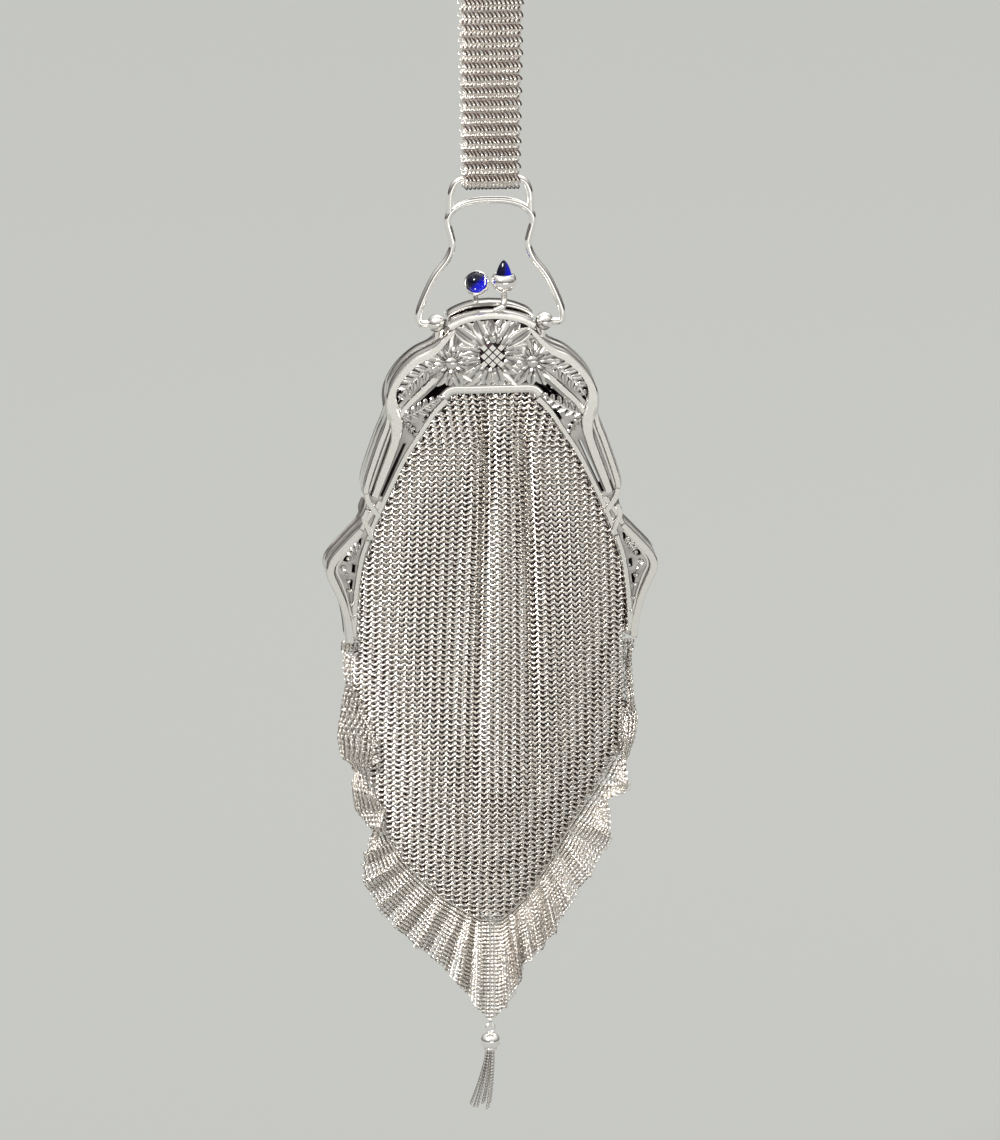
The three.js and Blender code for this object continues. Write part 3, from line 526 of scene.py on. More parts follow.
def bagSpots():
    # x, z and ways of one sheet's rings, evenly spaced along the folds
    x, z, ways = [], [], []
    row = 0
    height = bagTopZ
    while height > bagTipZ + bag["tip"]:
        left, right = [np.interp(height, bagHeights, bagShape[k]) for k in (0, 1)]
        line = np.linspace(-left, right, 500)
        depth = bagFront(line, np.full(len(line), height))
        length = np.concatenate([[0], np.cumsum(np.hypot(np.diff(line), np.diff(depth)))])
        zero = np.interp(0, line, length)
        shift = 0.5 * (row % 2)
        first = math.ceil((bag["margin"] - zero) / bag["pitch"] - shift)
        last = math.floor((length[-1] - zero - bag["margin"]) / bag["pitch"] - shift)
        spots = (np.arange(first, last + 1) + shift) * bag["pitch"] + zero
        x.append(np.interp(spots, length, line))
        z.append(np.full(len(spots), height))
        ways += [bag["rows"][row % 2]] * len(spots)
        row += 1
        height -= bag["rowStep"]
    return np.concatenate(x), np.concatenate(z), np.array(ways)


def bagSheet(back):
    x, z, ways = bagSpots()
    step = 0.4 * mm

    def at(atX, atZ):
        return np.stack([atX, bagFront(atX, atZ), atZ], 1)

    centre = at(x, z)
    right = at(x + step, z) - at(x - step, z)
    up = at(x, z + step) - at(x, z - step)
    if back:  # mirrored, and its rings face the back
        flip = np.array([1, -1, 1])
        centre, right, up = centre * flip, -right * flip, up * flip
    return centre, right, up, ways


def makeBag():
    for label, back in (("front", False), ("back", True)):
        ring = dict(bag["ring"])
        if back:
            ring.update(around=6, sides=3, wire=bag["backWire"])
        centre, right, up, ways = bagSheet(back)
        high = centre[:, 2] > (jaw["top"] + bagTipZ) / 2
        for part, chosen in (("upper", high), ("lower", ~high)):
            name = f"bag_{label}_{part}"
            mesh = ringMesh(name, ring, centre[chosen], right[chosen], up[chosen], ways[chosen])
            finishPiece(name, mesh, ringSilver, ["bag"])


# frill

frill = {
    # the ring's last two numbers: the depth where its painted shade and tarnish start, and over how much
    # depth they grow
    "ring": {"across": 1.8 * mm, "wire": 0.46 * mm, "around": 6, "sides": 3, "jitter": 0.09,
             "shadeFrom": -0.1, "shadeOver": 0.6},
    "pitch": 2.0 * mm,
    "rowStep": 0.72 * mm,
    # the last of each row's ways paints that row darker or lighter, as shade
    "rows": ((-0.7, 0, 0, 1, 0), (0.85, 0, 0, 0.95, 0.1)),
    "wave": 3.3 * mm,
    "roll": 1.5 * mm,  # how far a ruffle leans over along the edge
    "calm": 6 * mm,  # flat this near the tassel
    "curlIn": 5.5 * mm,  # how far a curled stretch lies over the bag
    "curlLift": 8.5 * mm,  # and how far forward
    "curlFrom": 0.35,  # share of the width where a curl turns back
    "stations": [  # from the left end: share of the bag's edge, outer edge across and down, ruffles, curl
        (0.02, -1.1, 0, 0, 0), (0.13, -1.1, 0.13, 0.7, 0.1), (0.2, -1.11, 0.2, 1, 0.6),
        (0.33, -1.125, 0.33, 1.4, 1), (0.42, -1.12, 0.41, 1.8, 0.8), (0.47, -1.07, 0.45, 2.2, 0.1),
        (0.52, -1.09, 0.5, 2.6, 0.5), (0.6, -1.03, 0.6, 3.2, 0.75), (0.667, -0.93, 0.68, 3.9, 0.3),
        (0.724, -0.93, 0.763, 4.8, 0), (0.792, -0.94, 0.857, 5.8, 0), (0.85, -0.81, 0.97, 7, 0),
        (0.918, -0.6, 1.075, 8.5, 0), (0.964, -0.39, 1.15, 9.8, 0), (0.985, -0.2, 1.25, 11, 0),
        (1, -0.09, 1.325, 11.7, 0), (1, 0, 1.37, 12.2, 0), (1, 0.085, 1.33, 12.6, 0),
        (0.985, 0.19, 1.265, 13.2, 0), (0.964, 0.24, 1.176, 14.2, 0), (0.918, 0.34, 1.13, 15.3, 0),
        (0.85, 0.46, 1.065, 16.6, 0), (0.792, 0.596, 0.95, 17.8, 0), (0.724, 0.746, 0.846, 18.8, 0),
        (0.667, 0.874, 0.749, 19.5, 0), (0.62, 0.93, 0.68, 20, 0.1), (0.57, 0.955, 0.59, 20.3, 0.3),
        (0.545, 1.07, 0.555, 20.6, 0.1), (0.42, 1.085, 0.42, 21.4, 0.35), (0.3, 1.11, 0.29, 22.1, 0.6),
        (0.24, 1.09, 0.24, 22.6, 0.3), (0.12, 1.07, 0.13, 23.3, 0.3), (0.02, 1.06, 0, 24, 0),
    ],
}


def frillEdges(count):
    # the seam, the outer edge, each place's turn in its ruffle and its curl, at many shares along
    stations = np.array(frill["stations"])
    lower = np.array(bag["lower"])
    share = np.linspace(0, len(stations) - 1, count)
    side, seam, across, down, ruffle, curl = [
        np.interp(share, np.arange(len(stations)), column)
        for column in (np.sign(stations[:, 1]), *stations.T)]
    left, right = [np.interp(seam, lower[:, 0], lower[:, k]) for k in (1, 2)]
    half = np.where(side < 0, left, right)
    level = np.zeros(count)
    inner = np.stack([half * side * bag["endWidth"], level, jaw["end"] - seam * lowerLength], 1)
    across, down, curl = [softened(values, 41) for values in (across, down, curl)]
    outer = np.stack([across * bag["endWidth"], level, jaw["end"] - down * lowerLength], 1)
    return inner, outer, ruffle * math.tau, curl


def frillWidths(edges):
    # the length of the mesh from the seam to its free edge, round the curl
    inner, outer, phase, curl = edges
    span = np.linalg.norm(outer - inner, axis=1)
    return span + curl * (span + frill["curlIn"])


def frillSheet(edges, reach):
    # the line of places that lie this far out from the seam
    inner, outer, phase, curl = edges
    out = np.clip(reach / frillWidths(edges), 0, 1.1)
    calm = np.clip(np.abs(outer[:, 0]) / frill["calm"], 0.15, 1)
    uneven = 0.8 + 0.3 * np.sin(phase * 0.37 + 0.9)
    fold = np.clip((out - frill["curlFrom"]) / (1 - frill["curlFrom"]), 0, 1)
    back = (1 - np.cos(math.pi * fold)) / 2
    span = np.linalg.norm(outer - inner, axis=1)
    rise = np.sin(np.clip(out / frill["curlFrom"], 0, 1) * math.pi / 2)
    curled = rise - back * (1 + frill["curlIn"] / span)
    spread = out * (1 - curl) + curled * curl
    line = inner + (outer - inner) * spread[:, None]
    wave = frill["wave"] * uneven * np.minimum(1, out * 1.25) * calm
    line[:, 1] += wave * (1 - 0.6 * curl) * np.sin(phase)
    line[:, 1] -= curl * frill["curlLift"] * (1 - np.cos(math.pi * np.minimum(out, 1))) / 2
    along = unit(np.gradient(outer, axis=0))
    return line + along * (frill["roll"] * out * calm * (1 - curl) * np.sin(2 * phase))[:, None]


def makeFrill():
    count = 3000
    edges = frillEdges(count)
    width = frillWidths(edges)
    hem = frillSheet(edges, np.linalg.norm(edges[1] - edges[0], axis=1) * 0.9)
    length = runOf(hem)
    columns = int(length[-1] / frill["pitch"])
    centre, right, up, ways = [], [], [], []
    for row in range(int(width.max() / frill["rowStep"])):
        steps = (np.arange(columns) + 0.25 + 0.5 * (row % 2)) * frill["pitch"]
        pick = np.clip(np.interp(steps, length, np.arange(count)).round().astype(int), 2, count - 3)
        reach = (row + 0.6) * frill["rowStep"]
        pick = pick[width[pick] > reach]
        line = frillSheet(edges, reach)
        centre.append(line[pick])
        right.append(line[pick + 2] - line[pick - 2])
        up.append((line - frillSheet(edges, reach + 0.3 * mm))[pick])
        ways += [frill["rows"][row % 2]] * len(pick)
    centre, right, up, ways = [np.concatenate(part) for part in (centre, right, up)] + [np.array(ways)]
    right[np.cross(right, up)[:, 1] > 0] *= -1  # every ring faces the front
    for label, chosen in (("left", centre[:, 0] < 0), ("right", centre[:, 0] >= 0)):
        name = f"frill_{label}"
        mesh = ringMesh(name, frill["ring"], centre[chosen], right[chosen], up[chosen], ways[chosen])
        finishPiece(name, mesh, ringSilver, ["frill"])


# strap

strap = {
    # the ring's last two numbers: the depth where its painted shade and tarnish start, and over how much
    # depth they grow
    "ring": {"across": 2.3 * mm, "wire": 0.5 * mm, "around": 8, "sides": 4, "jitter": 0.06,
             "shadeFrom": -0.15, "shadeOver": 0.5},
    # ways of the arched rows and of the slanting rows between them; the last of each paints that row darker
    # or lighter, as shade
    "rows": ((0.8, 0, 0, 0.84, -0.3), (0, 1.15, -0.55, 1.25, 0)),
    "columns": 14,
    "rowStep": 2.33 * mm,
    "topWidth": 24.8 * mm,
    "ringWidth": 21.2 * mm,
    "bend": 6.8 * mm,  # middle of the band round the hanging place
    "lowBend": 2.4 * mm,  # and round the ring's bar
    "thick": 1.6 * mm,
    "bendSteps": 40,
}


def makeStrap():
    # the band's closed middle line in the YZ plane
    topZ = -(strap["bend"] - strap["thick"] / 2)
    points = []
    for hand, bend, z in ((-1, strap["bend"], topZ), (1, strap["lowBend"], barZ)):
        for i in range(strap["bendSteps"] + 1):
            turn = math.pi * i / strap["bendSteps"]
            points.append((hand * math.cos(turn) * bend, z - hand * math.sin(turn) * bend))
    line = np.array(points + points[:1])
    length = runOf(line)
    rows = round(length[-1] / strap["rowStep"] / 2) * 2
    centre, right, up, ways = [], [], [], []
    for row in range(rows):
        spot = (row + 0.5) / rows * length[-1]
        y, z = [np.interp(spot, length, line[:, k]) for k in (0, 1)]
        ahead = [np.interp((spot + 0.3 * mm) % length[-1], length, line[:, k]) for k in (0, 1)]
        way = np.array([0, ahead[0] - y, ahead[1] - z])
        share = min(1.0, max(0.0, (topZ - z) / (topZ - barZ)))
        width = strap["topWidth"] + (strap["ringWidth"] - strap["topWidth"]) * share
        width -= strap["ring"]["across"] * 0.6
        shift = 0.25 if row % 2 else -0.25
        for i in range(strap["columns"]):
            x = ((i + 0.5 + shift) / strap["columns"] - 0.5) * width
            centre.append((x, y, z))
            right.append((-1, 0, 0))
            up.append(way)
            ways.append(strap["rows"][row % 2])
    centre, right, up, ways = [np.array(part, dtype=float) for part in (centre, right, up, ways)]
    mesh = ringMesh("strap_mesh", strap["ring"], centre, right, up, ways)
    finishPiece("strap_mesh", mesh, ringSilver, ["strap"], "carry")


# bail with its strap ring

bail = {
    "wire": 2.7 * mm,
    "ringWire": 2.6 * mm,
    "half": 25.9 * mm,
    "height": 45.3 * mm,
    "barHalf": 9.8 * mm,
    "corner": 4.4 * mm,
    "pin": 21.0 * mm,  # middle of the purse to the pin's end in the ball
    "cornerPath": [(0.62, 0.3), (0.95, 1), (1.05, 1.8)],  # past the bar and down, as shares of corner
    "path": [  # right half: out and up, as shares of half and height
        (0, 1), (0.24, 0.992), (0.44, 0.955), (0.56, 0.895), (0.592, 0.82), (0.55, 0.72), (0.525, 0.63),
        (0.6, 0.52), (0.77, 0.39), (0.9, 0.24), (0.985, 0.11), (1, 0.03), (0.95, 0),
    ],
}


def makeBail():
    bm = newBody()
    half = [Vector((out * bail["half"], 0, pivotZ + up * bail["height"])) for out, up in bail["path"]]
    half.append(Vector((bail["pin"], 0, pivotZ)))
    arch = smoothPath(bothSides(half), 6)
    sweep(bm, arch, bail["wire"], bail["wire"] / 2, forwards, sides=16, under=1.0)
    bar, corner = bail["barHalf"], bail["corner"]
    ring = [Vector((bar / 2, 0, barZ)), Vector((bar, 0, barZ))]
    ring += [Vector((bar + corner * out, 0, barZ - corner * down)) for out, down in bail["cornerPath"]]
    ring.append(half[3])
    path = smoothPath(mirrored(ring)[::-1] + ring, 6)
    sweep(bm, path, bail["ringWire"], bail["ringWire"] / 2, forwards, sides=16, under=1.0)
    finishPiece("bail_wire", bm, polished, ["bail"], "carry")


# pivot balls, clasp knobs and stones

def ballProfile(radius, squash=1.0, steps=16):
    turns = [math.pi * (i / steps - 0.5) for i in range(steps + 1)]
    return [(math.cos(t) * radius, math.sin(t) * radius * squash) for t in turns]


ball = {
    "radius": 3.3 * mm,
    "across": 19.4 * mm,
    "tang": 11 * mm,  # the flat foot that stands down between the jaws
    "tangThick": 0.6 * mm,
}


def makeBalls():
    radius = ball["radius"]
    for side, label in ((-1, "left"), (1, "right")):
        bm = newBody()
        middle = Vector((side * ball["across"], 0, pivotZ))
        lathe(bm, ballProfile(radius), 28, Matrix.Translation(middle))
        foot = middle + Vector((-side * radius / 3, 0, -radius * 0.6))
        tang = [foot, foot + Vector((0, 0, -ball["tang"]))]
        sweep(bm, tang, radius, ball["tangThick"], forwards, under=1.0)
        name = f"pivot_ball_{label}"
        finishPiece(f"{name}_turned", bm, polished, [name])


knob = {
    "radius": 4.7 * mm,
    "flatness": 0.86,
    "lip": 0.5 * mm,  # metal showing round the stone
    "facingDrop": 0.7 * mm,
    "stone": 3.8 * mm,
    "dome": 4.6 * mm,  # height of the facing stone
    "bullet": 3.15 * mm,  # radius of the upright stone
    "bulletHeight": 7.5 * mm,
    "spread": 4.85 * mm,
    "z": pivotZ + 15.1 * mm,
    "setback": 0.5 * mm,
    "raised": math.radians(30),  # the facing stone looks up
    "aside": math.radians(14),  # and to the left
    "stem": 1.1 * mm,
    "lipRise": 0.15 * mm,
    "seat": 0.3 * mm,  # the stones start this far up in the cup
    "free": 0.05 * mm,  # between a stone and its cup
    "frontFoot": [(4.6, -4, 3), (4, -4.8, 1.2), (1, -5.2, -0.1)],  # mm, up from the jaw's top
    "backFoot": 5 * mm,
    "glowWay": Vector((0.65, 0, -0.76)),  # away from the key light
}


def knobProfile(stone):
    # a squashed cup with a rolled lip round the stone
    radius, flatness = knob["radius"], knob["flatness"]
    lip = math.acos((stone + knob["lip"]) / radius)
    steps = 14
    profile = []
    for i in range(steps + 1):
        turn = -math.pi / 2 + (lip + math.pi / 2) * i / steps
        profile.append((math.cos(turn) * radius, math.sin(turn) * radius * flatness))
    top = profile[-1][1]
    profile += [(stone + knob["lip"] / 2, top + knob["lipRise"]), (stone, top), (stone, 0), (0, 0)]
    return profile


def stoneProfile(radius, height, point):
    # point: 2 for a dome, lower for a bullet
    steps = 16
    profile = [(0, knob["seat"])]
    for i in range(steps + 1):
        up = math.sin(math.pi / 2 * i / steps)
        profile.append(((1 - up**point) ** (1 / point) * (radius - knob["free"]), knob["seat"] + up * height))
    return profile


def makeClasp():
    upright = Vector((knob["spread"], 0, knob["z"]))
    front = Vector((-knob["spread"], knob["setback"], knob["z"] - knob["facingDrop"]))
    radius, stem = knob["radius"], knob["stem"]
    stand = Matrix.Translation(upright)
    tilt = Matrix.Rotation(-knob["aside"], 4, "Z") @ Matrix.Rotation(math.pi / 2 - knob["raised"], 4, "X")
    forward = Matrix.Translation(front) @ tilt
    backRim = Vector((-knob["spread"], knob["backFoot"], jaw["top"] + jaw["backRise"] - stem / 2))
    frontStem = [upright - Vector((0, 0, radius * 0.6)), upright - Vector((0, stem, radius * 1.1))]
    frontStem += [Vector((x * mm, y * mm, jaw["top"] + z * mm)) for x, y, z in knob["frontFoot"]]
    backStem = [
        front + Vector((0, radius * 0.6, 0)), front + Vector((0, radius * 1.1, -stem)),
        Vector((front.x, front.y + radius * 1.1, (front.z + backRim.z) / 2)), backRim,
    ]
    for name, place, path, stone in (("clasp_knob_front", stand, frontStem, knob["bullet"]),
                                     ("clasp_knob_back", forward, backStem, knob["stone"])):
        bm = newBody()
        lathe(bm, knobProfile(stone), 32, place)
        sweep(bm, smoothPath(path, 6), stem * 2, stem, Vector((1, -1, 0)).normalized(), sides=12, under=1.0)
        finishPiece(f"{name}_turned", bm, polished, [name])
    bullet = stoneProfile(knob["bullet"], knob["bulletHeight"], 1.6)
    dome = stoneProfile(knob["stone"], knob["dome"], 2)
    for name, place, profile in (("stone_upright", stand, bullet), ("stone_facing", forward, dome)):
        bm = newBody()
        lathe(bm, profile, 40, place)
        glow = bm.verts.layers.float.new("glow")
        for v in bm.verts:
            v[glow] = min(1.0, max(0.0, 0.3 + 0.9 * v.normal.dot(knob["glowWay"])))
        finishPiece(f"{name}_cabochon", bm, blueStone, [name])


# jaws: pierced plate, mouldings, flowers, leaves and ribbons, in the right half's shares

edges = {
    "arch": shares(0, 0, 90, 3, 180, 14, 255, 33),
    "flank": shares(
        262, 66, 348, 101, 456, 128, 549, 168, 612, 213, 632, 253, 628, 291, 648, 330, 690, 381, 756, 476,
        777, 521, 768, 552, 750, 586),
    "shoulder": shares(
        782, 637, 870, 685, 968, 738, 998, 767, 991, 796, 957, 832, 912, 884, 882, 948, 873, 1000),
    "inner": shares(
        800, 985, 814, 954, 804, 869, 780, 780, 732, 695, 666, 610, 582, 515, 492, 424, 402, 354,
        312, 287, 222, 245),
}
# pierced gaps of the right half
gaps = {
    "outerSlot": shares(572, 345, 585, 340, 600, 355, 665, 450, 733, 545, 722, 552),
    "innerSlot": shares(518, 392, 534, 392, 605, 468, 674, 550, 660, 552, 585, 470),
    "loopTop": shares(370, 178, 400, 170, 430, 178, 420, 200, 390, 192),
    "loopEnd": shares(548, 230, 578, 236, 583, 262, 565, 275, 540, 262),
    "largeGap": shares(
        245, 202, 290, 203, 340, 222, 430, 264, 420, 283, 390, 283, 350, 262, 310, 245, 280, 232,
        250, 226),
    "leafFoot": shares(360, 300, 385, 295, 420, 325, 405, 335),
    "ribbonFoot": shares(478, 335, 493, 340, 465, 382, 450, 372),
    "budHole": shares(428, 370, 445, 367, 448, 382, 434, 385),
    "cornerTop": shares(785, 677, 800, 678, 806, 695, 790, 698),
    "cornerTip": shares(925, 742, 950, 750, 945, 768, 925, 760),
    "cornerMiddle": shares(865, 732, 888, 728, 895, 745, 870, 748),
    "cornerLow": shares(822, 758, 840, 755, 845, 780, 826, 783),
    "cornerFoot": shares(838, 805, 853, 800, 862, 830, 845, 835),
}
# raised bands of the right half: height and widths in mm, the last width to the end, and the path
bands = {
    "whiplash": (1.2, [1.4, 2.8, 3, 2.9, 3.2, 4.4, 5.8, 5, 3.8, 3.6, 3.4, 2.8], shares(
        225, 50, 350, 116, 450, 143, 535, 182, 590, 224, 605, 262, 590, 300, 572, 335, 582, 380, 622, 440,
        668, 500, 705, 550)),
    "flankRim": (0.8, [1.4, 2, 2.2, 2.2, 2.2, 2, 1.6], shares(
        617, 300, 636, 345, 672, 392, 712, 450, 744, 500, 757, 535, 745, 570)),
    "outerThread": (0.8, [0.8], shares(600, 335, 640, 390, 690, 460, 735, 530)),
    "innerBorder": (0.7, [2.4, 2.2, 2], shares(
        275, 262, 350, 302, 430, 362, 520, 432, 606, 518, 690, 610, 745, 680)),
    "diagonal": (1, [2, 2.6, 2.6, 2.4, 2], shares(
        290, 172, 360, 205, 440, 243, 510, 277, 555, 310)),
    "knotOver": (1.7, [2, 2.4, 2.4, 1.8], shares(
        755, 540, 742, 565, 708, 592, 678, 612)),
    "knotUnder": (1.2, [1.8, 2.2, 2.2, 2], shares(
        672, 565, 710, 590, 750, 615, 785, 648)),
    "knotLow": (1.6, [1.8, 2.2, 2.3, 1.8], shares(
        752, 588, 768, 615, 750, 642, 722, 678)),
    "shoulderRim": (1.3, [2.2, 2.8, 3, 3.2, 3.2, 3, 2.8, 3, 3], shares(
        785, 652, 860, 694, 945, 741, 972, 770, 965, 794, 932, 830, 892, 880, 864, 940, 852, 992)),
    "shoulderThread": (0.9, [0.9], shares(
        790, 668, 850, 705, 920, 748, 935, 775, 905, 810, 872, 860, 845, 920)),
    "shoulderInner": (0.8, [2, 2, 2, 2.2, 3], shares(
        750, 685, 785, 740, 812, 820, 828, 900, 838, 975)),
}
# leaves of the right half: half width in mm, veined lobes on each side, and the spine from stalk to tip
leaves = {
    "loopLeaf": (3.4, 6, shares(340, 150, 420, 177, 500, 212, 565, 262)),
    "lowLeaf": (2.6, 6, shares(535, 310, 460, 296, 380, 272, 290, 246)),
    "bud": (1.5, 3, shares(530, 325, 490, 345, 455, 370)),
    "cornerLeaf": (1.8, 4, shares(800, 690, 840, 715, 870, 745)),
    "cornerStem": (1.2, 5, shares(835, 925, 848, 870, 865, 810, 880, 775)),
}
lobe = {
    "proud": 0.5 * mm,  # how far a leaf stands over the plate
    "high": 0.45 * mm,
    "widths": (0.3, 0.6, 0.75, 0.65, 0.2),  # from the spine to the lobe's tip, as shares of the leaf's
    "spine": 0.4 * mm,
}
# flowers: middle, disc radius, how far the disc stands out and how high it is, and petal rows of
# (count, length, width, height, turn), in mm
flowers = {
    "middle": {"at": (0, 0.128), "disc": 5.1, "proud": 0.6, "dome": 0.3, "rows": [
        (13, 17.5, 5.4, 0.3, 0.5), (13, 16.5, 5, 0.9, 0), (12, 10.2, 3.3, 1.5, 0.5)]},
    "side": {"at": (0.243, 0.15), "disc": 2.5, "proud": 0.5, "dome": 0.6, "rows": [
        (12, 11, 4, 0.9, 0.2), (9, 6.4, 2.5, 1.5, 0)]},
    "corner": {"at": (0.895, 0.766), "disc": 0.9, "proud": 0.5, "dome": 0.6, "rows": [
        (6, 2.9, 1.5, 0.8, 0)]},
}
petal = {
    "outs": (0, 0.75, 1, 0.85, 0.55, 0.1),  # how far it stands out, from the disc to its tip
    "widths": (0.4, 0.75, 1, 1.1, 0.95, 0.4),
    "high": 0.5 * mm,
    "form": {"sides": 20, "flat": 1.8, "dish": 0.4, "groove": 0.7, "foot": 0.4},
}
# the studs of the middle flower: shares of the disc, of their pitch and of its height
studs = {"pitch": 0.6, "edge": 0.9, "foot": 0.49, "top": 0.41, "high": 0.7, "lift": 0.1}
# the field behind the flowers, painted dark as shade and tarnish, and where petals stop: below the rim, and
# at the strip
field = {
    "rim": 0.019,
    "low": 0.219,
    "outline": shares(285, 70, 300, 130, 300, 190, 240, 215),
    "drop": 0.02,  # below the arch
    "proud": 0.12 * mm,
    "deep": 0.3 * mm,
    "bevel": 0.05 * mm,
}
# mouldings of the arch, this far down, and of the strip under the flowers
mouldings = {
    "arch": {"wide": 2.4 * mm, "high": 0.9 * mm, "flat": 1.4, "drop": 0.011},
    "strip": {"wide": 3.2 * mm, "high": 0.6 * mm, "flat": 2.0, "path": shares(
        0, 231, 120, 231, 240, 232, 290, 250)},
}


def petalReach(middle, way, limit):
    # how far a petal can grow before it meets the rim above or the strip below
    reach = 0.0
    rim = edges["arch"] + edges["flank"][:3]
    while reach < limit:
        tip = middle + way * reach
        across = abs(tip.x) / jaw["half"]
        down = (jaw["top"] - tip.z) / jaw["tall"]
        if down > field["low"] or down < np.interp(across, *zip(*rim)) + field["rim"]:
            break
        reach += 0.2 * mm
    return reach


def addFlower(bm, flower, side, rise):
    across, down = flower["at"]
    middle = jawAt(side * across, down, 0, rise)
    disc = flower["disc"] * mm
    steps = len(petal["outs"]) - 1
    for count, length, width, height, turn in flower["rows"]:
        for i in range(count):
            angle = (i + turn + rng.uniform(-0.12, 0.12)) / count * math.tau
            way = Vector((math.sin(angle), 0, math.cos(angle)))
            start = disc * 0.75
            end = petalReach(middle, way, length * mm) * rng.uniform(0.95, 1.02)
            path = [
                middle + way * (start + (end - start) * k / steps) + Vector((0, -height * mm * out, 0))
                for k, out in enumerate(petal["outs"])]
            wide = [width * mm * share for share in petal["widths"]]
            sweep(bm, path, wide, petal["high"], forwards, **petal["form"])
    front = middle + forwards * flower["proud"] * mm
    addDisc(bm, front, disc, disc * flower["dome"], flower is flowers["middle"])


def addDisc(bm, middle, disc, height, studded):
    # a dome turned to face the front, painted dark as shade and tarnish between its raised studs
    steps = 8
    turns = [i / steps * math.pi / 2 for i in range(steps + 1)]
    profile = [(0, 0)] + [(math.cos(turn) * disc, math.sin(turn) * height) for turn in turns]
    face = Matrix.Translation(middle) @ Matrix.Rotation(math.pi / 2, 4, "X")
    dome = newBody()
    lathe(dome, profile, 24, face)
    # painted shade and tarnish: dark on the studded dome, lighter on a plain one
    for v in dome.verts:
        v[dome.verts.layers.float["shade_and_tarnish"]] = 1.0 if studded else 0.15
    addTo(bm, dome)
    if not studded:
        return
    pitch = disc * studs["pitch"]
    for i in range(-4, 5):
        for j in range(-4, 5):
            x, z = (i + j) * pitch * 0.5, (i - j) * pitch * 0.5
            off = math.hypot(x, z) / disc
            if off > studs["edge"]:
                continue
            stud = newBody()
            bmesh.ops.create_cone(
                stud, cap_ends=True, segments=4, radius1=pitch * studs["foot"], radius2=pitch * studs["top"],
                depth=height * studs["high"])
            top = math.sqrt(1 - off * off) * height + height * studs["lift"]
            addTo(bm, stud, face @ Matrix.Translation((x, z, top)))


def addLeaf(bm, leaf, side, rise):
    wide, lobes, pairs = leaf
    spine = smoothPath(jawRow(pairs, side, lobe["spine"], rise), 6)
    last = len(spine) - 1
    half = wide * mm
    for k in range(lobes):
        share = (k + 0.4) / lobes
        at = round(share * last)
        spot = spine[at]
        along = (spine[min(last, at + 2)] - spine[max(0, at - 2)]).normalized()
        across = along.cross(forwards)
        reach = half * math.sin(math.pi * min(0.95, 0.2 + share * 0.8)) * 1.15
        for hand in (-1, 1):
            tip = spot + (across * hand * 0.85 + along * 0.75) * reach
            path = []
            for i in range(5):
                swell = lobe["proud"] * math.sin(math.pi * (0.2 + i / 5))
                path.append(spot.lerp(tip, i / 4) + forwards * swell)
            wide = [half * width for width in lobe["widths"]]
            sweep(bm, path, wide, lobe["high"], forwards, sides=12, flat=1.4, groove=0.6, foot=0.2)
    spread = [half * 0.45 * math.sin(math.pi * (0.12 + 0.8 * i / last)) for i in range(last + 1)]
    raised = [place + forwards * lobe["proud"] for place in spine]
    sweep(bm, raised, spread, lobe["spine"], forwards, sides=8, groove=0.5)


def addBand(bm, band, side, rise):
    steps = 6
    high, wide, pairs = band
    path = smoothPath(jawRow(pairs, side, 0, rise), steps)
    widths = [float(np.interp(i / steps, range(len(wide)), wide)) * mm for i in range(len(path))]
    sweep(bm, path, widths, high * mm, forwards, sides=16, flat=1.6, under=0.4)


def addMoulding(bm, half, steps, moulding):
    path = smoothPath(bothSides(half), steps)
    sweep(bm, path, moulding["wide"], moulding["high"], forwards, sides=16, flat=moulding["flat"], under=0.4)


def insetOf(outer):
    # the outer edge moved in by the wall, without the places that would fold over in its corners
    inset = []
    for i, place in enumerate(outer):
        along = (outer[min(i + 1, len(outer) - 1)] - outer[max(i - 1, 0)]).normalized()
        inner = place + along.cross(forwards) * jaw["wall"]
        clear = min((inner - other).length for other in outer) > jaw["wall"] * 0.97
        if clear and (not inset or (inner - inset[-1]).length > 0.6 * mm):
            inset.append(inner)
    return inset


def jawBody(rise):
    bm = newBody()
    half = jawRow(edges["arch"] + edges["flank"] + edges["shoulder"], rise=rise)
    outer = bothSides(smoothPath(half, 5))
    inner = smoothPath(jawRow(edges["inner"]), 5)
    holes = [jawRow(gap, side) for gap in gaps.values() for side in (1, -1)]
    near = jaw["face"]
    # its face painted darker as tarnish and shade in the recess, its inner side painted dark as shade where
    # the piercings show it
    plate(bm, outer + inner + mirrored(inner)[::-1], holes, near, near + jaw["plate"], 0.25 * mm, 0.5, 1.0)
    wallNear = near + jaw["plate"] / 2
    plate(bm, outer + insetOf(outer)[::-1], [], wallNear, -jaw["gap"] / 2, 0.2 * mm)
    arch, strip = mouldings["arch"], mouldings["strip"]
    addMoulding(bm, jawRow([(a, d + arch["drop"]) for a, d in edges["arch"]], rise=rise), 6, arch)
    addMoulding(bm, jawRow(strip["path"]), 4, strip)
    top = jawRow([(a, d + field["drop"]) for a, d in edges["arch"]], rise=rise)
    ground = bothSides(top + jawRow(field["outline"]))
    # the field painted dark as shade and tarnish on both sides
    plate(bm, ground, [], near - field["proud"], near + field["deep"], field["bevel"], 1.0, 1.0)
    for side in (1, -1):
        for band in bands.values():
            addBand(bm, band, side, rise)
        for leaf in leaves.values():
            addLeaf(bm, leaf, side, rise)
        for name in ("side", "corner"):
            addFlower(bm, flowers[name], side, rise)
    addFlower(bm, flowers["middle"], 1, rise)
    return bm


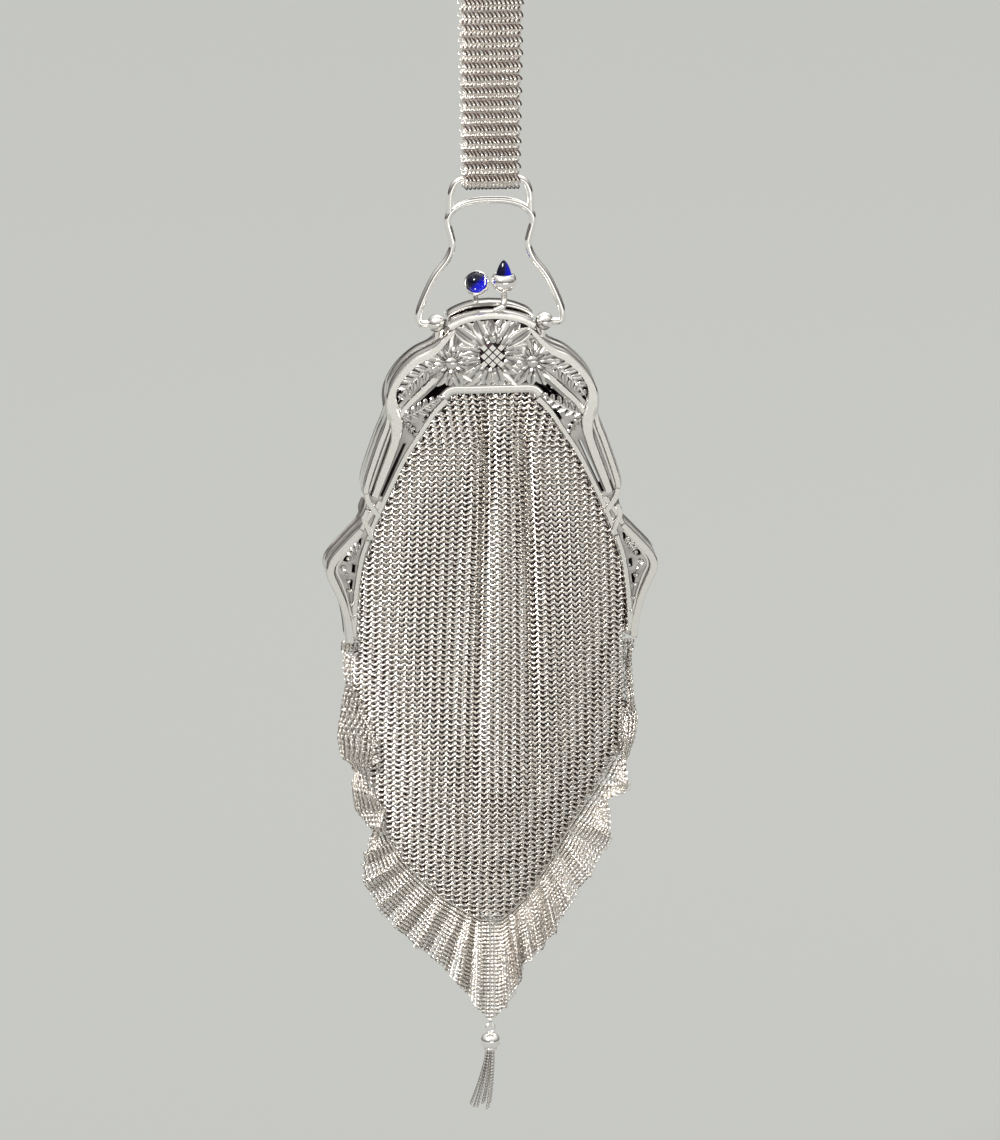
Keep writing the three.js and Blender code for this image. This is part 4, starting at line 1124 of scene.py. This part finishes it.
def makeJaws():
    for label, rise, turn in (("front", 0.0, 0.0), ("back", jaw["backRise"], math.pi)):
        bm = jawBody(rise)
        bmesh.ops.rotate(bm, verts=bm.verts, cent=(0, 0, 0), matrix=Matrix.Rotation(turn, 3, "Z"))
        name = f"jaw_{label}"
        finishPiece(name, bm, cast, [f"frame_{label}"])


# links that hold the mesh in holes along the jaws' inner edge

links = {
    "ring": {**bag["ring"], "across": 2.3 * mm, "wire": 0.5 * mm},
    "first": 1.2 * mm,
    "pitch": 2.6 * mm,
    "turn": math.radians(62),
}


def makeLinks():
    inner = smoothPath(jawRow(edges["inner"]), 12)
    line = np.array([place[:] for place in inner + mirrored(inner)[::-1]])
    length = runOf(line)
    spots = np.arange(links["first"], length[-1], links["pitch"])
    centre = np.stack([np.interp(spots, length, line[:, k]) for k in range(3)], 1)
    count = len(centre)
    up = np.tile([0, 0, 1.0], (count, 1))
    ways = [(0, links["turn"], 0, 1, 0)] * count
    for label, hand in (("front", 1), ("back", -1)):
        centre[:, 1] = hand * (jaw["face"] + jaw["plate"] / 2)
        right = np.tile([hand, 0, 0], (count, 1))
        mesh = ringMesh(f"jaw_links_{label}", links["ring"], centre, right, up, ways)
        finishPiece(f"jaw_links_{label}", mesh, ringSilver, [f"frame_{label}"])


# tassel

tassel = {
    "linkTop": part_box("tassel_link")[1].z,
    "linkLow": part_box("tassel_link")[0].z,
    "ringTop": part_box("tassel")[1].z,
    "wire": 0.7 * mm,
    "ring": 3.8 * mm,
    "cap": 3.6 * mm,
    "squash": 0.88,
    "length": 22.5 * mm,
    "spread": 4.6 * mm,
    "strands": 13,
    "swing": 3.4 * mm,  # how far its end has swung to the left
    "linkWide": 3.8 * mm,
    "collar": [(0.55, -0.7), (0.66, -0.74), (0.66, -0.86), (0.55, -0.9)],  # as shares of the cap
    "goldenTurn": 2.4,  # radians from strand to strand
    "beads": (0.62 * mm, 0.95 * mm),  # width between and at the beads
    "steps": 40,
}


def makeTassel():
    upward = Vector((0, 0, 1))
    bm = newBody()
    low, high, wire = tassel["linkLow"], tassel["linkTop"], tassel["wire"]
    middle = Vector((0, 0, (high + low) / 2))
    torus(bm, middle, upward, Vector((1, 0, 0)), high - low, tassel["linkWide"], wire)
    finishPiece("tassel_link_wire", bm, polished, ["tassel_link"])
    bm = newBody()
    ring, cap = tassel["ring"], tassel["cap"]
    ringMiddle = Vector((0, 0, tassel["ringTop"] - ring / 2))
    torus(bm, ringMiddle, upward, forwards, ring, ring, wire)
    capZ = ringMiddle.z - ring / 2 - cap * tassel["squash"] + wire / 2
    lathe(bm, ballProfile(cap, tassel["squash"]), 28, Matrix.Translation((0, 0, capZ)))
    collar = [(cap * out, cap * up) for out, up in tassel["collar"]]
    lathe(bm, collar + collar[:1], 24, Matrix.Translation((0, 0, capZ)))
    steps = tassel["steps"]
    bead = [tassel["beads"][k % 2] for k in range(steps + 1)]
    for i in range(tassel["strands"]):
        turn = i * tassel["goldenTurn"]
        spread = math.sqrt((i + 0.5) / tassel["strands"])
        way = Vector((math.cos(turn), math.sin(turn), 0)) * spread
        length = tassel["length"] * rng.uniform(0.93, 1.0)
        path = []
        for k in range(steps + 1):
            share = k / steps
            wide = cap * 0.45 + (tassel["spread"] - cap * 0.45) * share**1.3
            hang = Vector((-tassel["swing"] * share**1.6, 0, capZ - cap * 0.6 - share * length))
            path.append(way * wide + hang)
        # every other point, the narrow places between the beads, painted dark as shade
        sweep(bm, path, bead, [b / 2 for b in bead], forwards, sides=6, under=1.0, rib=0.8)
    finishPiece("tassel_chains", meshOf(bm, "tassel_chains", 80), polished, ["tassel"])


# the carried-over hinges get the cast metal

def finishHinges():
    for label in ("left", "right"):
        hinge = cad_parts[f"hinge_{label}"]
        hinge.data.materials.clear()
        hinge.data.materials.append(cast)


# stage, light and camera

stage = {"half": 6, "z": -0.62}


def makeStage():
    bm = bmesh.new()
    bmesh.ops.create_grid(bm, x_segments=1, y_segments=1, size=stage["half"])
    mesh = bpy.data.meshes.new("floor")
    bm.to_mesh(mesh)
    bm.free()
    floor = placeObject("floor", mesh)
    floor.location.z = stage["z"]
    material, tree, shader = newMaterial("paleFloor")
    setInputs(tree, shader, {"Base Color": (0.243, 0.25, 0.243, 1), "Roughness": 0.9})
    mesh.materials.append(material)


def addLight(name, kind, way, size, power, colour):
    light = bpy.data.lights.new(name, kind)
    if kind == "SUN":
        light.angle = size
    else:
        light.size = size
    light.energy = power
    light.color = colour
    lamp = placeObject(name, light)
    lamp.location = view["middle"] + Vector(way)
    lamp.rotation_euler = Vector(way).to_track_quat("Z", "Y").to_euler()


def makeLights():
    addLight("key", "SUN", (-1.0, -1.15, 1.5), math.radians(20), 5.6, (1.0, 0.98, 0.95))
    addLight("front", "AREA", (0.4, -1.9, -0.7), 1.7, 14, (1.0, 0.98, 0.95))
    addLight("back", "AREA", (0.5, 1.3, 1.1), 1.2, 3, (1.0, 1.0, 1.0))
    world = bpy.data.worlds.new("studio")
    world.use_nodes = True
    tree = world.node_tree
    height = addNode(tree, "SeparateXYZ", {0: placeOf(tree, "Generated")}).outputs["Z"]
    sky = addNode(tree, "ValToRGB", {"Fac": height})  # dim at the horizon, bright overhead
    sky.color_ramp.elements[0].color = (0.06, 0.05, 0.045, 1)
    sky.color_ramp.elements[1].position = 0.85
    sky.color_ramp.elements[1].color = (1.0, 1.0, 0.98, 1)
    setInputs(tree, tree.nodes["Background"], {"Color": sky.outputs["Color"], "Strength": 1.15})
    bpy.context.scene.world = world
    bpy.context.scene.view_settings.view_transform = "Standard"


def makeCamera():
    data = bpy.data.cameras.new("camera")
    data.sensor_fit = "HORIZONTAL"
    data.sensor_width = 36
    data.lens = view["distance"] / view["width"] * data.sensor_width
    camera = placeObject("camera", data)
    turn, rise = math.radians(view["azimuth"]), math.radians(view["elevation"])
    way = Vector((math.sin(turn) * math.cos(rise), -math.cos(turn) * math.cos(rise), math.sin(rise)))
    camera.location = view["middle"] + way * view["distance"]
    camera.rotation_euler = (-way).to_track_quat("-Z", "Y").to_euler()
    bpy.context.scene.camera = camera


makeBag()
makeFrill()
makeStrap()
makeBail()
makeBalls()
makeClasp()
makeJaws()
makeLinks()
makeTassel()
finishHinges()
makeStage()
makeLights()
makeCamera()
